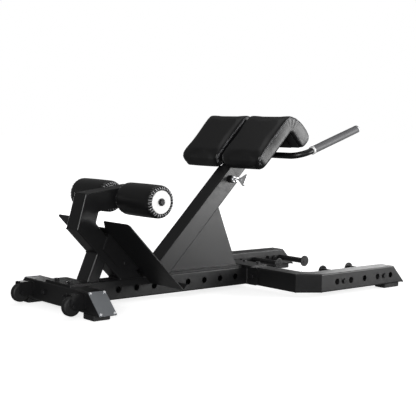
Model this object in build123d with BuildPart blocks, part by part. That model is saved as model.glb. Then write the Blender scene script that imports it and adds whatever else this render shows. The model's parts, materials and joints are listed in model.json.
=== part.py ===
"""Roman chair: a 45 degree hip-extension bench with a telescoping pad post.

Millimetres.  +X runs along the main rail towards the U-shaped base, the way the user faces;
+Z is up and the floor is Z = 0.  The bench is symmetric about Y = 0 apart from its pull pin.
"""
from build123d import *
import os
from math import atan2, cos, degrees, pi, radians, sin, sqrt, tan

os.makedirs("parts", exist_ok=True)

# ---------------------------------------------------------------- driving dimensions
TUBE = 75.0  # side of the square frame tube
WALL = 3.0  # tube wall
TUBE_ROUND = 5.0  # outer corner radius of the tube
FOOT_HEIGHT = 20.0  # rubber feet under the tubes
RAIL_TOP = FOOT_HEIGHT + TUBE
RAIL_MID = FOOT_HEIGHT + TUBE / 2
HALF = TUBE / 2

REAR_FACE_X = -731.5  # rear face of the rear cross tube
REAR_FRONT_X = REAR_FACE_X + TUBE
REAR_HALF_TOP = 208.0  # half length along its top; the ends slope out at 45 degrees
REAR_HALF_BOTTOM = REAR_HALF_TOP + TUBE

BASE_REAR_X = 193.5  # rear face of the U base
BASE_FRONT_X = BASE_REAR_X + TUBE
CORNER_START_Y = 312.0  # where the outer face of the corner tube starts
CORNER_LENGTH_X = 89.0
BASE_HALF_WIDTH = 371.0  # outer faces of the two side arms
ARM_TOP_END_X = 733.5  # the arm ends slope at 45 degrees
ARM_MID_Y = BASE_HALF_WIDTH - HALF

PLATE = 8.0  # joint bracket plate
PEG_HOLE_R = 12.5
HOLE_PITCH = 85.0
RAIL_FIRST_HOLE_X = -475.5
RAIL_HOLES = 8
ARM_FIRST_HOLE_X = 375.5
ARM_HOLES = 5
PEG_HOLES = (2, 4)  # arm holes that carry a band peg
ARM_BOLTS = (0.5, 3.5)  # arm through bolts, in hole pitches from the first hole

POST_ANGLE = 45.0
POST_FOOT_X = -286.5  # where the post axis meets the top of the rail
UPRIGHT_LENGTH = 553.0  # from that point, along the axis, to the mouth
INNER_POST = 65.0
INNER_POST_LOW = 296.0
INNER_POST_HIGH = 751.0
POST_TRAVEL = 150.0
POST_STEP = 30.0
PIN_AT = 520.0  # pull pin, along the axis from the foot point
PIN_TRAVEL = 12.0
WING_HEADING = 67.0  # the pull handle stands steeper than the post
PIN_R = 5.0

PAD_UNDER = -37.5  # back of the pad boards, measured across the post axis
PAD_FACE = -97.0
PAD_LOW = 542.0
PAD_HIGH = 830.0
PAD_FRONT_BACK = 756.0
PAD_FRONT_END = 60.0
PAD_INNER_Y = 12.0
PAD_OUTER_Y = 239.0
BOARD = 12.0

ROLLER_X = -448.5
ROLLER_Z = 401.5
ROLLER_R = 60.0
ROLLER_INNER_Y = 50.0
ROLLER_OUTER_Y = 255.0
AXLE_R = 12.5
RUNNING = 0.05  # radial clearance of every running fit
DISC_R = 42.0

ARM_LOW_SUM = -372.5  # x + z along the rear face of the lower ankle arm
ARM_CORNER = (-663.0, 290.5)  # rear corner between lower and middle ankle arm
ARM_TOP = (-626.0, 423.5)  # rear corner between middle and upper ankle arm
ARM_RISE = 7.0  # upper ankle arm slopes up this many degrees
ARM_END_X = -413.5

STRUT_FOOT_X = -618.5
STRUT_ANGLE = 67.0
STRUT_DEPTH = 50.0

SHEET = 4.0  # foot plate sheet
FOOT_PLATE_SUM = -254.0  # x + z on the underside of the foot plate
FOOT_PLATE_TOP = -576.5  # x at its top edge
FOOT_PLATE_LENGTH = 364.0
FOOT_PLATE_HALF = 232.0
FOOT_PLATE_LIP = 26.0

WHEEL_R = 35.0
WHEEL_WIDTH = 26.0
WHEEL_Y = 172.0
WHEEL_BACK = 42.0  # wheel centre behind the rear cross tube
WHEEL_Z = 46.0

HANDLE_R = 12.7
HANDLE_Y = 265.0
HANDLE_BEND = 60.0
HANDLE_RISE = 18.5

Y_AXIS = Vector(0, 1, 0)
NEAR_FAR = (("right", -1), ("left", 1))


def save(part, name):
    """Label a finished part and write its STEP file."""
    part.label = name
    export_step(part, f"parts/{name}.step")


def on_post(along, across, y=0.0):
    """Point at a distance along the post axis and across it towards the front."""
    a = radians(POST_ANGLE)
    x = POST_FOOT_X + along * cos(a) + across * sin(a)
    z = RAIL_TOP + along * sin(a) - across * cos(a)
    return Vector(x, y, z)


POST_DIR = on_post(1, 0) - on_post(0, 0)
POST_ACROSS = on_post(0, 1) - on_post(0, 0)


def post_side_plane(y=0.0):
    """Sketch plane in which X runs along the post and Y runs across it towards the front."""
    return Plane(origin=on_post(0, 0, y), x_dir=POST_DIR, z_dir=Y_AXIS)


def heading(angle):
    """Unit vector in the XZ plane, degrees up from +X."""
    return Vector(cos(radians(angle)), 0, sin(radians(angle)))


def trimmed_tube(start, end, depth, width, cuts, wall=WALL, round_r=TUBE_ROUND):
    """Square tube from start to end with its ends cut by planes, the material kept behind each.

    depth lies across the run in the plane of the run and its sketch; width lies along side.
    """
    run = (end - start).normalized()
    side = Vector(0, 0, 1) if abs(run.Y) > 1e-6 else Y_AXIS
    length = (end - start).length
    section = Plane(origin=start - run * 150, x_dir=side, z_dir=run)
    with BuildPart() as tube:
        with BuildSketch(section):
            RectangleRounded(width, depth, round_r)
            if wall:
                RectangleRounded(width - 2 * wall, depth - 2 * wall, round_r - wall, mode=Mode.SUBTRACT)
        extrude(amount=length + 300)
        for point, normal in cuts:
            split(bisect_by=Plane(origin=point, z_dir=normal), keep=Keep.BOTTOM)
    return tube


def along_y(x, z, y):
    """Sketch plane whose normal is +Y."""
    return Plane(origin=(x, y, z), x_dir=(1, 0, 0), z_dir=(0, 1, 0))


def profile_plane(y):
    """Sketch plane at a given Y in which X and Y are the row's X and Z; it faces -Y."""
    return Plane(origin=(0, y, 0), x_dir=(1, 0, 0), z_dir=(0, -1, 0))


def bolt(seat, direction, shank_r, length, head_r, head_height):
    """Hexagon bolt: its head sits on seat and its shank runs along direction."""
    plane = Plane(origin=seat, z_dir=direction)
    with BuildPart() as fastener:
        with BuildSketch(plane):
            Circle(shank_r)
        extrude(amount=length)
        with BuildSketch(plane):
            RegularPolygon(head_r, 6)
        extrude(amount=-head_height)
        rim = fastener.faces().sort_by(Axis(plane.origin, plane.z_dir))[0].edges()
        chamfer(rim, head_height * 0.14)
    return fastener


def nut(seat, direction, bore_r, outer_r, height):
    """Hexagon nut standing off seat along direction."""
    plane = Plane(origin=seat, z_dir=direction)
    with BuildPart() as fastener:
        with BuildSketch(plane):
            RegularPolygon(outer_r, 6)
            Circle(bore_r, mode=Mode.SUBTRACT)
        extrude(amount=height)
        outer = fastener.faces().sort_by(Axis(plane.origin, plane.z_dir))[-1].outer_wire().edges()
        chamfer(outer, height * 0.12)
    return fastener


# ---------------------------------------------------------------- base frame
BRACKET_HALF_Y = 100.0
BRACKET_LEG_HALF_Y = 85.0
LEG_ON_RAIL = 21.0  # how far the bracket's top leg lies over the rail
LEG_ON_TUBE = 65.0  # and over the cross tube
TOP_BOLT_Y = 42.0
TOP_BOLT_INSET = 48.0  # from the rear end of the rail to the bolts over the cross tube
FRONT_BOLT_INSET = 58.0  # and from its front end
SIDE_BOLT_Y = 70.0
BOLT_R = 6.0
BOLT_HOLE_R = 6.4
BOLT_HEAD_R = 10.5
BOLT_HEAD = 7.5
NUT_HEIGHT = 10.0
SADDLE = 4.0  # cheek thickness of the foot plate bracket
SADDLE_BOLT = (-450.5, 158.6)
ARM_BOLT_R = 5.0

RAIL_START_X = REAR_FRONT_X + PLATE
RAIL_END_X = BASE_REAR_X - PLATE
REAR_MID_X = REAR_FACE_X + HALF
BASE_MID_X = BASE_REAR_X + HALF
REAR_TOP_BOLT_X = RAIL_START_X - TOP_BOLT_INSET
FRONT_TOP_BOLT_X = RAIL_END_X + FRONT_BOLT_INSET


def cross_bores(xs, z, radius, y_low, y_high):
    """Cut round holes along Y through the open part between two Y values."""
    for x in xs:
        with BuildSketch(along_y(x, z, y_low)) as bore:
            Circle(radius)
        extrude(bore.sketch, amount=y_high - y_low, mode=Mode.SUBTRACT)


def joint_bolt_holes(top_bolt_x, low_x, high_x):
    """Cut the four bolt holes of a joint bracket out of the open part."""
    with BuildSketch(Plane.XY.offset(RAIL_TOP - WALL - 1)) as top_holes:
        with Locations((top_bolt_x, -TOP_BOLT_Y), (top_bolt_x, TOP_BOLT_Y)):
            Circle(BOLT_HOLE_R)
    extrude(top_holes.sketch, amount=WALL + PLATE + 2, mode=Mode.SUBTRACT)
    with BuildSketch(Plane.YZ.offset(low_x)) as side_holes:
        with Locations((-SIDE_BOLT_Y, RAIL_MID), (SIDE_BOLT_Y, RAIL_MID)):
            Circle(BOLT_HOLE_R)
    extrude(side_holes.sketch, amount=high_x - low_x, mode=Mode.SUBTRACT)


def make_rear_cross_tube():
    """Rear cross tube with its ends sloped out towards the floor."""
    start = Vector(REAR_MID_X, -REAR_HALF_BOTTOM, RAIL_MID)
    end = Vector(REAR_MID_X, REAR_HALF_BOTTOM, RAIL_MID)
    cuts = [
        (Vector(REAR_MID_X, side * REAR_HALF_TOP, RAIL_TOP), Vector(0, side, 1)) for side in (-1, 1)
    ]
    blank = trimmed_tube(start, end, TUBE, TUBE, cuts)
    with BuildPart() as rear_cross_tube:
        add(blank.part)
        joint_bolt_holes(REAR_TOP_BOLT_X, REAR_FACE_X - 1, REAR_FRONT_X + 1)
    save(rear_cross_tube.part, "rear_cross_tube")


def end_face_plane(side):
    """Plane of a sloped end of the rear cross tube, its sketch Y running up the slope."""
    centre = Vector(REAR_MID_X, side * (REAR_HALF_TOP + HALF), RAIL_MID)
    return Plane(origin=centre, x_dir=(1, 0, 0), z_dir=Vector(0, side, 1))


END_PLATE = 3.0
END_SCREW_AT = (29.0, 45.0)


def make_rear_end_plates():
    """Blank cover plates on the sloped ends, each held by four screws."""
    for name, side in NEAR_FAR:
        face = end_face_plane(side)
        with BuildPart() as cover:
            with BuildSketch(face):
                RectangleRounded(TUBE - 2, TUBE * sqrt(2) - 2, 3)
                with GridLocations(2 * END_SCREW_AT[0], 2 * END_SCREW_AT[1], 2, 2):
                    Circle(2.1, mode=Mode.SUBTRACT)
            extrude(amount=END_PLATE)
            rim = cover.faces().sort_by(Axis(face.origin, face.z_dir))[-1].outer_wire().edges()
            chamfer(rim, 0.6)
        save(cover.part, f"rear_end_plate_{name}")
    with BuildPart() as screws:
        for name, side in NEAR_FAR:
            face = end_face_plane(side).offset(END_PLATE)
            with BuildSketch(face):
                with GridLocations(2 * END_SCREW_AT[0], 2 * END_SCREW_AT[1], 2, 2):
                    Circle(4.5)
            extrude(amount=2.2)
            with BuildSketch(face):
                with GridLocations(2 * END_SCREW_AT[0], 2 * END_SCREW_AT[1], 2, 2):
                    Circle(2.0)
            extrude(amount=-END_PLATE)
    save(screws.part, "rear_end_plate_screws")


def make_feet():
    """Rubber feet under the rear tube ends and under the arm ends."""
    rear = [(REAR_FACE_X, REAR_FRONT_X - 4, side * 183.0, side * 250.0) for _, side in NEAR_FAR]
    front = [(691.0, 789.0, side * 306.0, side * 361.0) for _, side in NEAR_FAR]
    with BuildPart() as feet:
        for x0, x1, y0, y1 in rear + front:
            with BuildSketch(Plane.XY):
                with Locations(((x0 + x1) / 2, (y0 + y1) / 2)):
                    RectangleRounded(x1 - x0, abs(y1 - y0), 5)
            extrude(amount=FOOT_HEIGHT)
        chamfer(feet.faces().filter_by(Axis.Z).group_by(Axis.Z)[0].edges(), 2.5)
    save(feet.part, "rubber_feet")


def make_main_rail():
    """Main rail with a row of peg holes through both side walls."""
    start = Vector(RAIL_START_X, 0, RAIL_MID)
    end = Vector(RAIL_END_X, 0, RAIL_MID)
    cuts = [(start, Vector(-1, 0, 0)), (end, Vector(1, 0, 0))]
    blank = trimmed_tube(start, end, TUBE, TUBE, cuts)
    holes = [RAIL_FIRST_HOLE_X + k * HOLE_PITCH for k in range(RAIL_HOLES)]
    with BuildPart() as main_rail:
        add(blank.part)
        cross_bores(holes, RAIL_MID, PEG_HOLE_R, -HALF - 1, HALF + 1)
    save(main_rail.part, "main_rail")


def make_joint_bracket(name, face_x, facing):
    """T-shaped bracket at a rail end: a plate behind the cross tube and a leg over tube and rail.

    face_x is the cross tube's face and facing points from the rail towards that tube.
    """
    rail_end = face_x - facing * PLATE
    plate_low = min(face_x, rail_end)
    leg_low, leg_high = sorted((rail_end - facing * LEG_ON_RAIL, face_x + facing * LEG_ON_TUBE))
    bolt_x = REAR_TOP_BOLT_X if facing < 0 else FRONT_TOP_BOLT_X
    with BuildPart() as bracket:
        with BuildSketch(Plane.YZ.offset(plate_low)) as plate:
            with Locations((0, RAIL_MID)):
                Rectangle(2 * BRACKET_HALF_Y, TUBE)
            fillet(plate.vertices().group_by(Axis.Z)[0], 14)
        extrude(amount=PLATE)
        with BuildSketch(Plane.XY.offset(RAIL_TOP)):
            with Locations(((leg_low + leg_high) / 2, 0)):
                RectangleRounded(leg_high - leg_low, 2 * BRACKET_LEG_HALF_Y, 8)
        extrude(amount=PLATE)
        joint_bolt_holes(bolt_x, plate_low - 1, plate_low + PLATE + 1)
    save(bracket.part, f"{name}_joint_bracket")


CORNER_END_X = BASE_REAR_X + CORNER_LENGTH_X
CORNER_DIR = Vector(CORNER_LENGTH_X, BASE_HALF_WIDTH - CORNER_START_Y, 0).normalized()
ARM_END_CAP = 3.0


def mirror_y(vector, side):
    """The vector with its Y turned to the given side."""
    return Vector(vector.X, vector.Y * side, vector.Z)


def make_u_base():
    """Cross tube, two corner tubes and two side arms of the U base, mitred to each other."""
    first_mitre = Vector(0, 1, 0) + CORNER_DIR
    second_mitre = CORNER_DIR + Vector(1, 0, 0)
    first_corner = Vector(BASE_REAR_X, CORNER_START_Y, RAIL_MID)
    second_corner = Vector(CORNER_END_X, BASE_HALF_WIDTH, RAIL_MID)
    inward = Vector(CORNER_DIR.Y, -CORNER_DIR.X, 0) * HALF

    start = Vector(BASE_MID_X, -CORNER_START_Y, RAIL_MID)
    end = Vector(BASE_MID_X, CORNER_START_Y, RAIL_MID)
    cuts = [(mirror_y(first_corner, side), mirror_y(first_mitre, side)) for side in (-1, 1)]
    blank = trimmed_tube(start, end, TUBE, TUBE, cuts)
    with BuildPart() as base_cross_tube:
        add(blank.part)
        joint_bolt_holes(FRONT_TOP_BOLT_X, BASE_REAR_X - 1, BASE_FRONT_X + 1)
    save(base_cross_tube.part, "base_cross_tube")

    holes = [ARM_FIRST_HOLE_X + k * HOLE_PITCH for k in range(ARM_HOLES)]
    bolts = [ARM_FIRST_HOLE_X + k * HOLE_PITCH for k in ARM_BOLTS]
    for name, side in NEAR_FAR:
        start = mirror_y(first_corner + inward, side)
        end = mirror_y(second_corner + inward, side)
        cuts = [
            (mirror_y(first_corner, side), mirror_y(first_mitre, side) * -1),
            (mirror_y(second_corner, side), mirror_y(second_mitre, side)),
        ]
        corner = trimmed_tube(start, end, TUBE, TUBE, cuts)
        save(corner.part, f"base_corner_{name}")

        start = Vector(CORNER_END_X, side * ARM_MID_Y, RAIL_MID)
        end = Vector(ARM_TOP_END_X, side * ARM_MID_Y, RAIL_MID)
        slope = Vector(1, 0, 1).normalized()
        end_point = Vector(ARM_TOP_END_X, 0, RAIL_TOP)
        cuts = [
            (mirror_y(second_corner, side), mirror_y(second_mitre, side) * -1),
            (end_point - slope * ARM_END_CAP, slope),
        ]
        blank = trimmed_tube(start, end, TUBE, TUBE, cuts)
        low, high = sorted((side * (BASE_HALF_WIDTH + 1), side * (BASE_HALF_WIDTH - TUBE - 1)))
        with BuildPart() as arm:
            add(blank.part)
            cross_bores(holes, RAIL_MID, PEG_HOLE_R, low, high)
            cross_bores(bolts, RAIL_MID, BOLT_HOLE_R, low, high)
        save(arm.part, f"base_arm_{name}")


def joint_bolt_list():
    """Seats, directions and shank lengths of the joint bracket bolts."""
    top = RAIL_TOP + PLATE
    through = TUBE + PLATE + NUT_HEIGHT + 3
    found = []
    for x in (REAR_TOP_BOLT_X, FRONT_TOP_BOLT_X):
        for y in (-TOP_BOLT_Y, TOP_BOLT_Y):
            found.append(((x, y, top), (0, 0, -1), 26))
    for x, facing in ((RAIL_START_X, -1), (RAIL_END_X, 1)):
        for y in (-SIDE_BOLT_Y, SIDE_BOLT_Y):
            found.append(((x, y, RAIL_MID), (facing, 0, 0), through))
    return found


def arm_bolt_list():
    """Seats, directions and shank lengths of the side arm bolts, heads outside the U."""
    xs = [ARM_FIRST_HOLE_X + k * HOLE_PITCH for k in ARM_BOLTS]
    length = TUBE + NUT_HEIGHT + 4
    seats = [(x, side * BASE_HALF_WIDTH, RAIL_MID) for _, side in NEAR_FAR for x in xs]
    return [(seat, (0, -1 if seat[1] > 0 else 1, 0), length) for seat in seats]


def nut_list():
    """Seats and directions of the nuts on the joint and side arm bolts."""
    found = []
    for x, facing in ((REAR_FACE_X, -1), (BASE_FRONT_X, 1)):
        for y in (-SIDE_BOLT_Y, SIDE_BOLT_Y):
            found.append(((x, y, RAIL_MID), (facing, 0, 0)))
    for x in (REAR_TOP_BOLT_X, FRONT_TOP_BOLT_X):
        for y in (-TOP_BOLT_Y, TOP_BOLT_Y):
            found.append(((x, y, RAIL_TOP - WALL), (0, 0, -1)))
    for seat, inwards, _ in arm_bolt_list():
        inner = (seat[0], seat[1] + inwards[1] * TUBE, seat[2])
        found.append((inner, inwards))
    return found


def make_frame_fasteners():
    """Every bolt of the frame in one node and every nut in another."""
    with BuildPart() as bolts:
        for seat, direction, length in joint_bolt_list() + arm_bolt_list():
            add(bolt(seat, direction, BOLT_R, length, BOLT_HEAD_R, BOLT_HEAD).part)
        seat = (SADDLE_BOLT[0], -HALF - SADDLE, SADDLE_BOLT[1])
        add(bolt(seat, (0, 1, 0), ARM_BOLT_R, TUBE + 2 * SADDLE + 12, 9, 6.5).part)
    save(bolts.part, "frame_bolts")
    with BuildPart() as nuts:
        for seat, direction in nut_list():
            add(nut(seat, direction, BOLT_R, BOLT_HEAD_R, NUT_HEIGHT).part)
        seat = (SADDLE_BOLT[0], HALF + SADDLE, SADDLE_BOLT[1])
        add(nut(seat, (0, 1, 0), ARM_BOLT_R, 9, 9).part)
    save(nuts.part, "frame_nuts")


PEG_ROD_R = PEG_HOLE_R - RUNNING
PEG_DISC_R = 25.0
PEG_DISC = 6.0
PEG_END_Y = 132.0
PEG_ROOT_Y = 360.0


def make_band_pegs():
    """Band pegs that stand inwards from the side arms, each with a flat end disc."""
    for name, side in NEAR_FAR:
        for number, hole in enumerate(PEG_HOLES, 1):
            x = ARM_FIRST_HOLE_X + hole * HOLE_PITCH
            tip = Plane(origin=(x, side * PEG_END_Y, RAIL_MID), z_dir=(0, side, 0))
            with BuildPart() as peg:
                with BuildSketch(tip):
                    Circle(PEG_DISC_R)
                extrude(amount=PEG_DISC)
                fillet(peg.edges(), 1.5)
                with BuildSketch(tip.offset(PEG_DISC / 2)):
                    Circle(PEG_ROD_R)
                extrude(amount=PEG_ROOT_Y - PEG_END_Y - PEG_DISC / 2)
            save(peg.part, f"band_peg_{name}_{number}")


# ---------------------------------------------------------------- transport wheels
FORK_SHEET = 4.0
FORK_GAP = 1.5  # between the wheel's hub and each cheek
WHEEL_X = REAR_FACE_X - WHEEL_BACK
WHEEL_BOLT_R = 5.0
HUB_R = 21.0


def make_wheels():
    """Two fixed forks on the rear face, each with a rubber-tyred wheel on an axle bolt."""
    cheek_in = WHEEL_WIDTH / 2 + FORK_GAP
    cheek_out = cheek_in + FORK_SHEET
    fork_top = RAIL_TOP - 8
    for name, side in NEAR_FAR:
        middle = side * WHEEL_Y
        with BuildPart() as fork:
            for low in (middle - cheek_out, middle + cheek_in):
                with BuildSketch(profile_plane(low)) as cheek:
                    with BuildLine():
                        Polyline(
                            (REAR_FACE_X, fork_top),
                            (WHEEL_X - 8, fork_top),
                            (WHEEL_X - 14, WHEEL_Z),
                            (WHEEL_X + 6, WHEEL_Z - 14),
                            (REAR_FACE_X, WHEEL_Z - 10),
                            close=True,
                        )
                    make_face()
                    fillet(cheek.vertices().group_by(Axis.X)[0], 9)
                extrude(amount=-FORK_SHEET)
            with BuildSketch(Plane.XY.offset(fork_top - FORK_SHEET)):
                with Locations(((WHEEL_X - 2 + REAR_FACE_X) / 2, middle)):
                    Rectangle(REAR_FACE_X - WHEEL_X + 2, 2 * cheek_in)
            extrude(amount=FORK_SHEET)
            with BuildSketch(Plane.YZ.offset(REAR_FACE_X)):
                with Locations((middle, (fork_top + WHEEL_Z - 12) / 2)):
                    RectangleRounded(2 * cheek_out + 22, fork_top - WHEEL_Z + 12, 4)
            extrude(amount=-FORK_SHEET)
            cross_bores([WHEEL_X], WHEEL_Z, WHEEL_BOLT_R, middle - 30, middle + 30)
        save(fork.part, f"wheel_fork_{name}")

        with BuildPart() as hub:
            with BuildSketch(Plane.XZ.offset(-middle)):
                with Locations((WHEEL_X, WHEEL_Z)):
                    Circle(HUB_R)
                    Circle(WHEEL_BOLT_R + RUNNING, mode=Mode.SUBTRACT)
            extrude(amount=WHEEL_WIDTH / 2, both=True)
            with BuildSketch(Plane.XZ.offset(-middle)):
                with Locations((WHEEL_X, WHEEL_Z)):
                    Circle(9)
                    Circle(WHEEL_BOLT_R + RUNNING, mode=Mode.SUBTRACT)
            extrude(amount=WHEEL_WIDTH / 2 + 1.2, both=True)
        save(hub.part, f"wheel_hub_{name}")
        with BuildPart() as tyre:
            with BuildSketch(Plane.XZ.offset(-middle)):
                with Locations((WHEEL_X, WHEEL_Z)):
                    Circle(WHEEL_R)
                    Circle(HUB_R, mode=Mode.SUBTRACT)
            extrude(amount=WHEEL_WIDTH / 2, both=True)
            fillet(tyre.edges().filter_by(GeomType.CIRCLE).sort_by(SortBy.RADIUS)[-2:], 7)
        save(tyre.part, f"wheel_tyre_{name}")

    with BuildPart() as fasteners:
        for _, side in NEAR_FAR:
            seat = (WHEEL_X, side * (WHEEL_Y + cheek_out), WHEEL_Z)
            inner_seat = (WHEEL_X, side * (WHEEL_Y - cheek_out), WHEEL_Z)
            length = 2 * cheek_out + 9
            add(bolt(seat, (0, -side, 0), WHEEL_BOLT_R, length, 8.5, 5.5).part)
            add(nut(inner_seat, (0, -side, 0), WHEEL_BOLT_R + 0.02, 8.5, 7).part)
    save(fasteners.part, "wheel_fasteners")


# ---------------------------------------------------------------- upright and telescoping post
PIN_HOLE_R = 8.0
POST_HOLE_R = 5.4
POST_HOLES = 6
BUSH_LOW = 470.0
BUSH_LIP = 3.0
BUSH_FIT = 0.1  # gap between the bush and each face of the inner post
GUSSET = 8.0
GUSSET_RISE = 376.0  # how far up the front of the post the gusset reaches, along the post
GUSSET_FOOT = 379.0


def side_hole(along, radius, y_low, y_high):
    """Cut a round hole along Y, centred on the post axis, out of the open part."""
    point = on_post(along, 0)
    cross_bores([point.X], point.Z, radius, y_low, y_high)


def make_upright():
    """Fixed outer tube of the post, its guide bush and the gusset under it."""
    start = on_post(0, 0)
    mouth = on_post(UPRIGHT_LENGTH, 0)
    blank = trimmed_tube(start, mouth, TUBE, TUBE, [(start, Vector(0, 0, -1)), (mouth, POST_DIR)])
    with BuildPart() as upright_tube:
        add(blank.part)
        side_hole(PIN_AT, PIN_HOLE_R, -HALF - 1, 0)
    save(upright_tube.part, "upright_tube")

    low = on_post(BUSH_LOW, 0)
    outer = TUBE - 2 * WALL
    bore = INNER_POST + 2 * BUSH_FIT
    lip = Plane(origin=mouth, x_dir=Y_AXIS, z_dir=POST_DIR)
    with BuildPart() as guide_bush:
        with BuildSketch(Plane(origin=low, x_dir=Y_AXIS, z_dir=POST_DIR)):
            RectangleRounded(outer, outer, TUBE_ROUND - WALL)
        extrude(amount=UPRIGHT_LENGTH - BUSH_LOW)
        with BuildSketch(lip):
            RectangleRounded(TUBE, TUBE, TUBE_ROUND)
        extrude(amount=BUSH_LIP)
        with BuildSketch(Plane(origin=low, x_dir=Y_AXIS, z_dir=POST_DIR)):
            RectangleRounded(bore, bore, 4)
        extrude(amount=UPRIGHT_LENGTH - BUSH_LOW + BUSH_LIP, mode=Mode.SUBTRACT)
        side_hole(PIN_AT, PIN_HOLE_R, -HALF, 0)
    save(guide_bush.part, "guide_bush")

    front_x = on_post(0, HALF).X + (RAIL_TOP - on_post(0, HALF).Z)
    web_low = RAIL_TOP + 6
    web_rear = front_x + 6
    rise = GUSSET_RISE * cos(radians(POST_ANGLE))
    with BuildPart() as upright_gusset:
        with BuildSketch(profile_plane(-GUSSET / 2)):
            with BuildLine():
                Polyline(
                    (web_rear, web_low),
                    (web_rear + GUSSET_FOOT, web_low),
                    (web_rear + rise, web_low + rise),
                    close=True,
                )
            make_face()
        extrude(amount=-GUSSET)
        with BuildSketch(Plane.XY.offset(RAIL_TOP)):
            with Locations((front_x + 7 + (GUSSET_FOOT + 8) / 2, 0)):
                RectangleRounded(GUSSET_FOOT + 8, 68, 4)
        extrude(amount=6)
    save(upright_gusset.part, "upright_gusset")


def make_inner_post():
    """Sliding inner tube with the row of height holes in its right wall."""
    start = on_post(INNER_POST_LOW, 0)
    end = on_post(INNER_POST_HIGH, 0)
    cuts = [(start, POST_DIR * -1), (end, POST_DIR)]
    blank = trimmed_tube(start, end, INNER_POST, INNER_POST, cuts, round_r=4)
    with BuildPart() as inner_post:
        add(blank.part)
        for step in range(POST_HOLES):
            side_hole(PIN_AT - step * POST_STEP, POST_HOLE_R, -INNER_POST / 2 - 1, 0)
    save(inner_post.part, "inner_post")


PIN_COLLAR_END = -52.0
PIN_BARREL_END = -78.0
PIN_HUB_FRONT = -92.0
PIN_WING_END = -128.0


def pin_plane(y):
    """Sketch plane across the pull pin at a given Y, its normal pointing away from the post."""
    return Plane(origin=on_post(PIN_AT, 0, y), x_dir=POST_DIR, z_dir=Y_AXIS * -1)


def make_pull_pin():
    """Hexagonal collar, barrel and the spring plunger with its winged pull handle."""
    with BuildPart() as pin_collar:
        with BuildSketch(pin_plane(-HALF)):
            RegularPolygon(16, 6)
            Circle(PIN_HOLE_R, mode=Mode.SUBTRACT)
        extrude(amount=-PIN_COLLAR_END - HALF)
        rim = pin_collar.faces().sort_by(Axis.Y)[0].outer_wire().edges()
        chamfer(rim, 1.5)
    save(pin_collar.part, "pin_collar")

    inner_end = -INNER_POST / 2 - 0.5
    with BuildPart() as pin_barrel:
        with BuildSketch(pin_plane(inner_end)):
            Circle(PIN_HOLE_R)
        extrude(amount=inner_end - PIN_BARREL_END)
        with BuildSketch(pin_plane(PIN_COLLAR_END)):
            RegularPolygon(11, 6)
        extrude(amount=7)
        with BuildSketch(pin_plane(PIN_BARREL_END + 6)):
            Circle(9.5)
        extrude(amount=6)
        chamfer(pin_barrel.faces().sort_by(Axis.Y)[0].edges(), 1)
        with BuildSketch(pin_plane(0)):
            Circle(PIN_R + RUNNING)
        extrude(amount=150, mode=Mode.SUBTRACT)
    save(pin_barrel.part, "pin_barrel")

    tip = -INNER_POST / 2 - 0.4
    wing_across = heading(WING_HEADING - 90)
    wing_plane = Plane(origin=on_post(PIN_AT, 0), x_dir=heading(WING_HEADING), z_dir=wing_across).offset(-4)
    with BuildPart() as wing:
        with BuildSketch(wing_plane) as outline:
            with BuildLine():
                Polyline(
                    (-9, -PIN_HUB_FRONT + 4),
                    (9, -PIN_HUB_FRONT + 4),
                    (25, -PIN_WING_END - 9),
                    (22, -PIN_WING_END),
                    (-22, -PIN_WING_END),
                    (-25, -PIN_WING_END - 9),
                    close=True,
                )
            make_face()
        extrude(amount=8)
        fillet(wing.edges().filter_by(Axis((0, 0, 0), wing_across)), 3)
        chamfer(wing.faces().filter_by(Axis((0, 0, 0), wing_across)).edges(), 1.5)
    with BuildPart() as pull_pin:
        with BuildSketch(pin_plane(tip)):
            Circle(PIN_R)
        extrude(amount=tip - PIN_HUB_FRONT)
        chamfer(pull_pin.faces().sort_by(Axis.Y)[-1].edges(), 1)
        with BuildSketch(pin_plane(PIN_HUB_FRONT)):
            Circle(8.5)
        extrude(amount=14, taper=8)
        add(wing.part)
    save(pull_pin.part, "pull_pin")


# ---------------------------------------------------------------- ankle arm


def inset_line(point, direction, amount):
    """The point moved towards the front of a line in the XZ plane."""
    return point + Vector(direction.Z, 0, -direction.X) * amount


def make_tube_caps(ankle_end):
    """Plastic caps on the sloped ends of the side arms and on the upper ankle arm."""
    slope = Vector(1, 0, 1).normalized()
    with BuildPart() as caps:
        for _, side in NEAR_FAR:
            end = Vector(ARM_TOP_END_X + HALF, side * ARM_MID_Y, RAIL_MID) - slope * ARM_END_CAP
            with BuildSketch(Plane(origin=end, x_dir=(0, 1, 0), z_dir=slope)):
                RectangleRounded(TUBE, TUBE * sqrt(2), 4)
            extrude(amount=ARM_END_CAP)
        with BuildSketch(ankle_end):
            RectangleRounded(TUBE, TUBE, TUBE_ROUND)
        extrude(amount=ARM_END_CAP)
    save(caps.part, "tube_end_caps")


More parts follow.
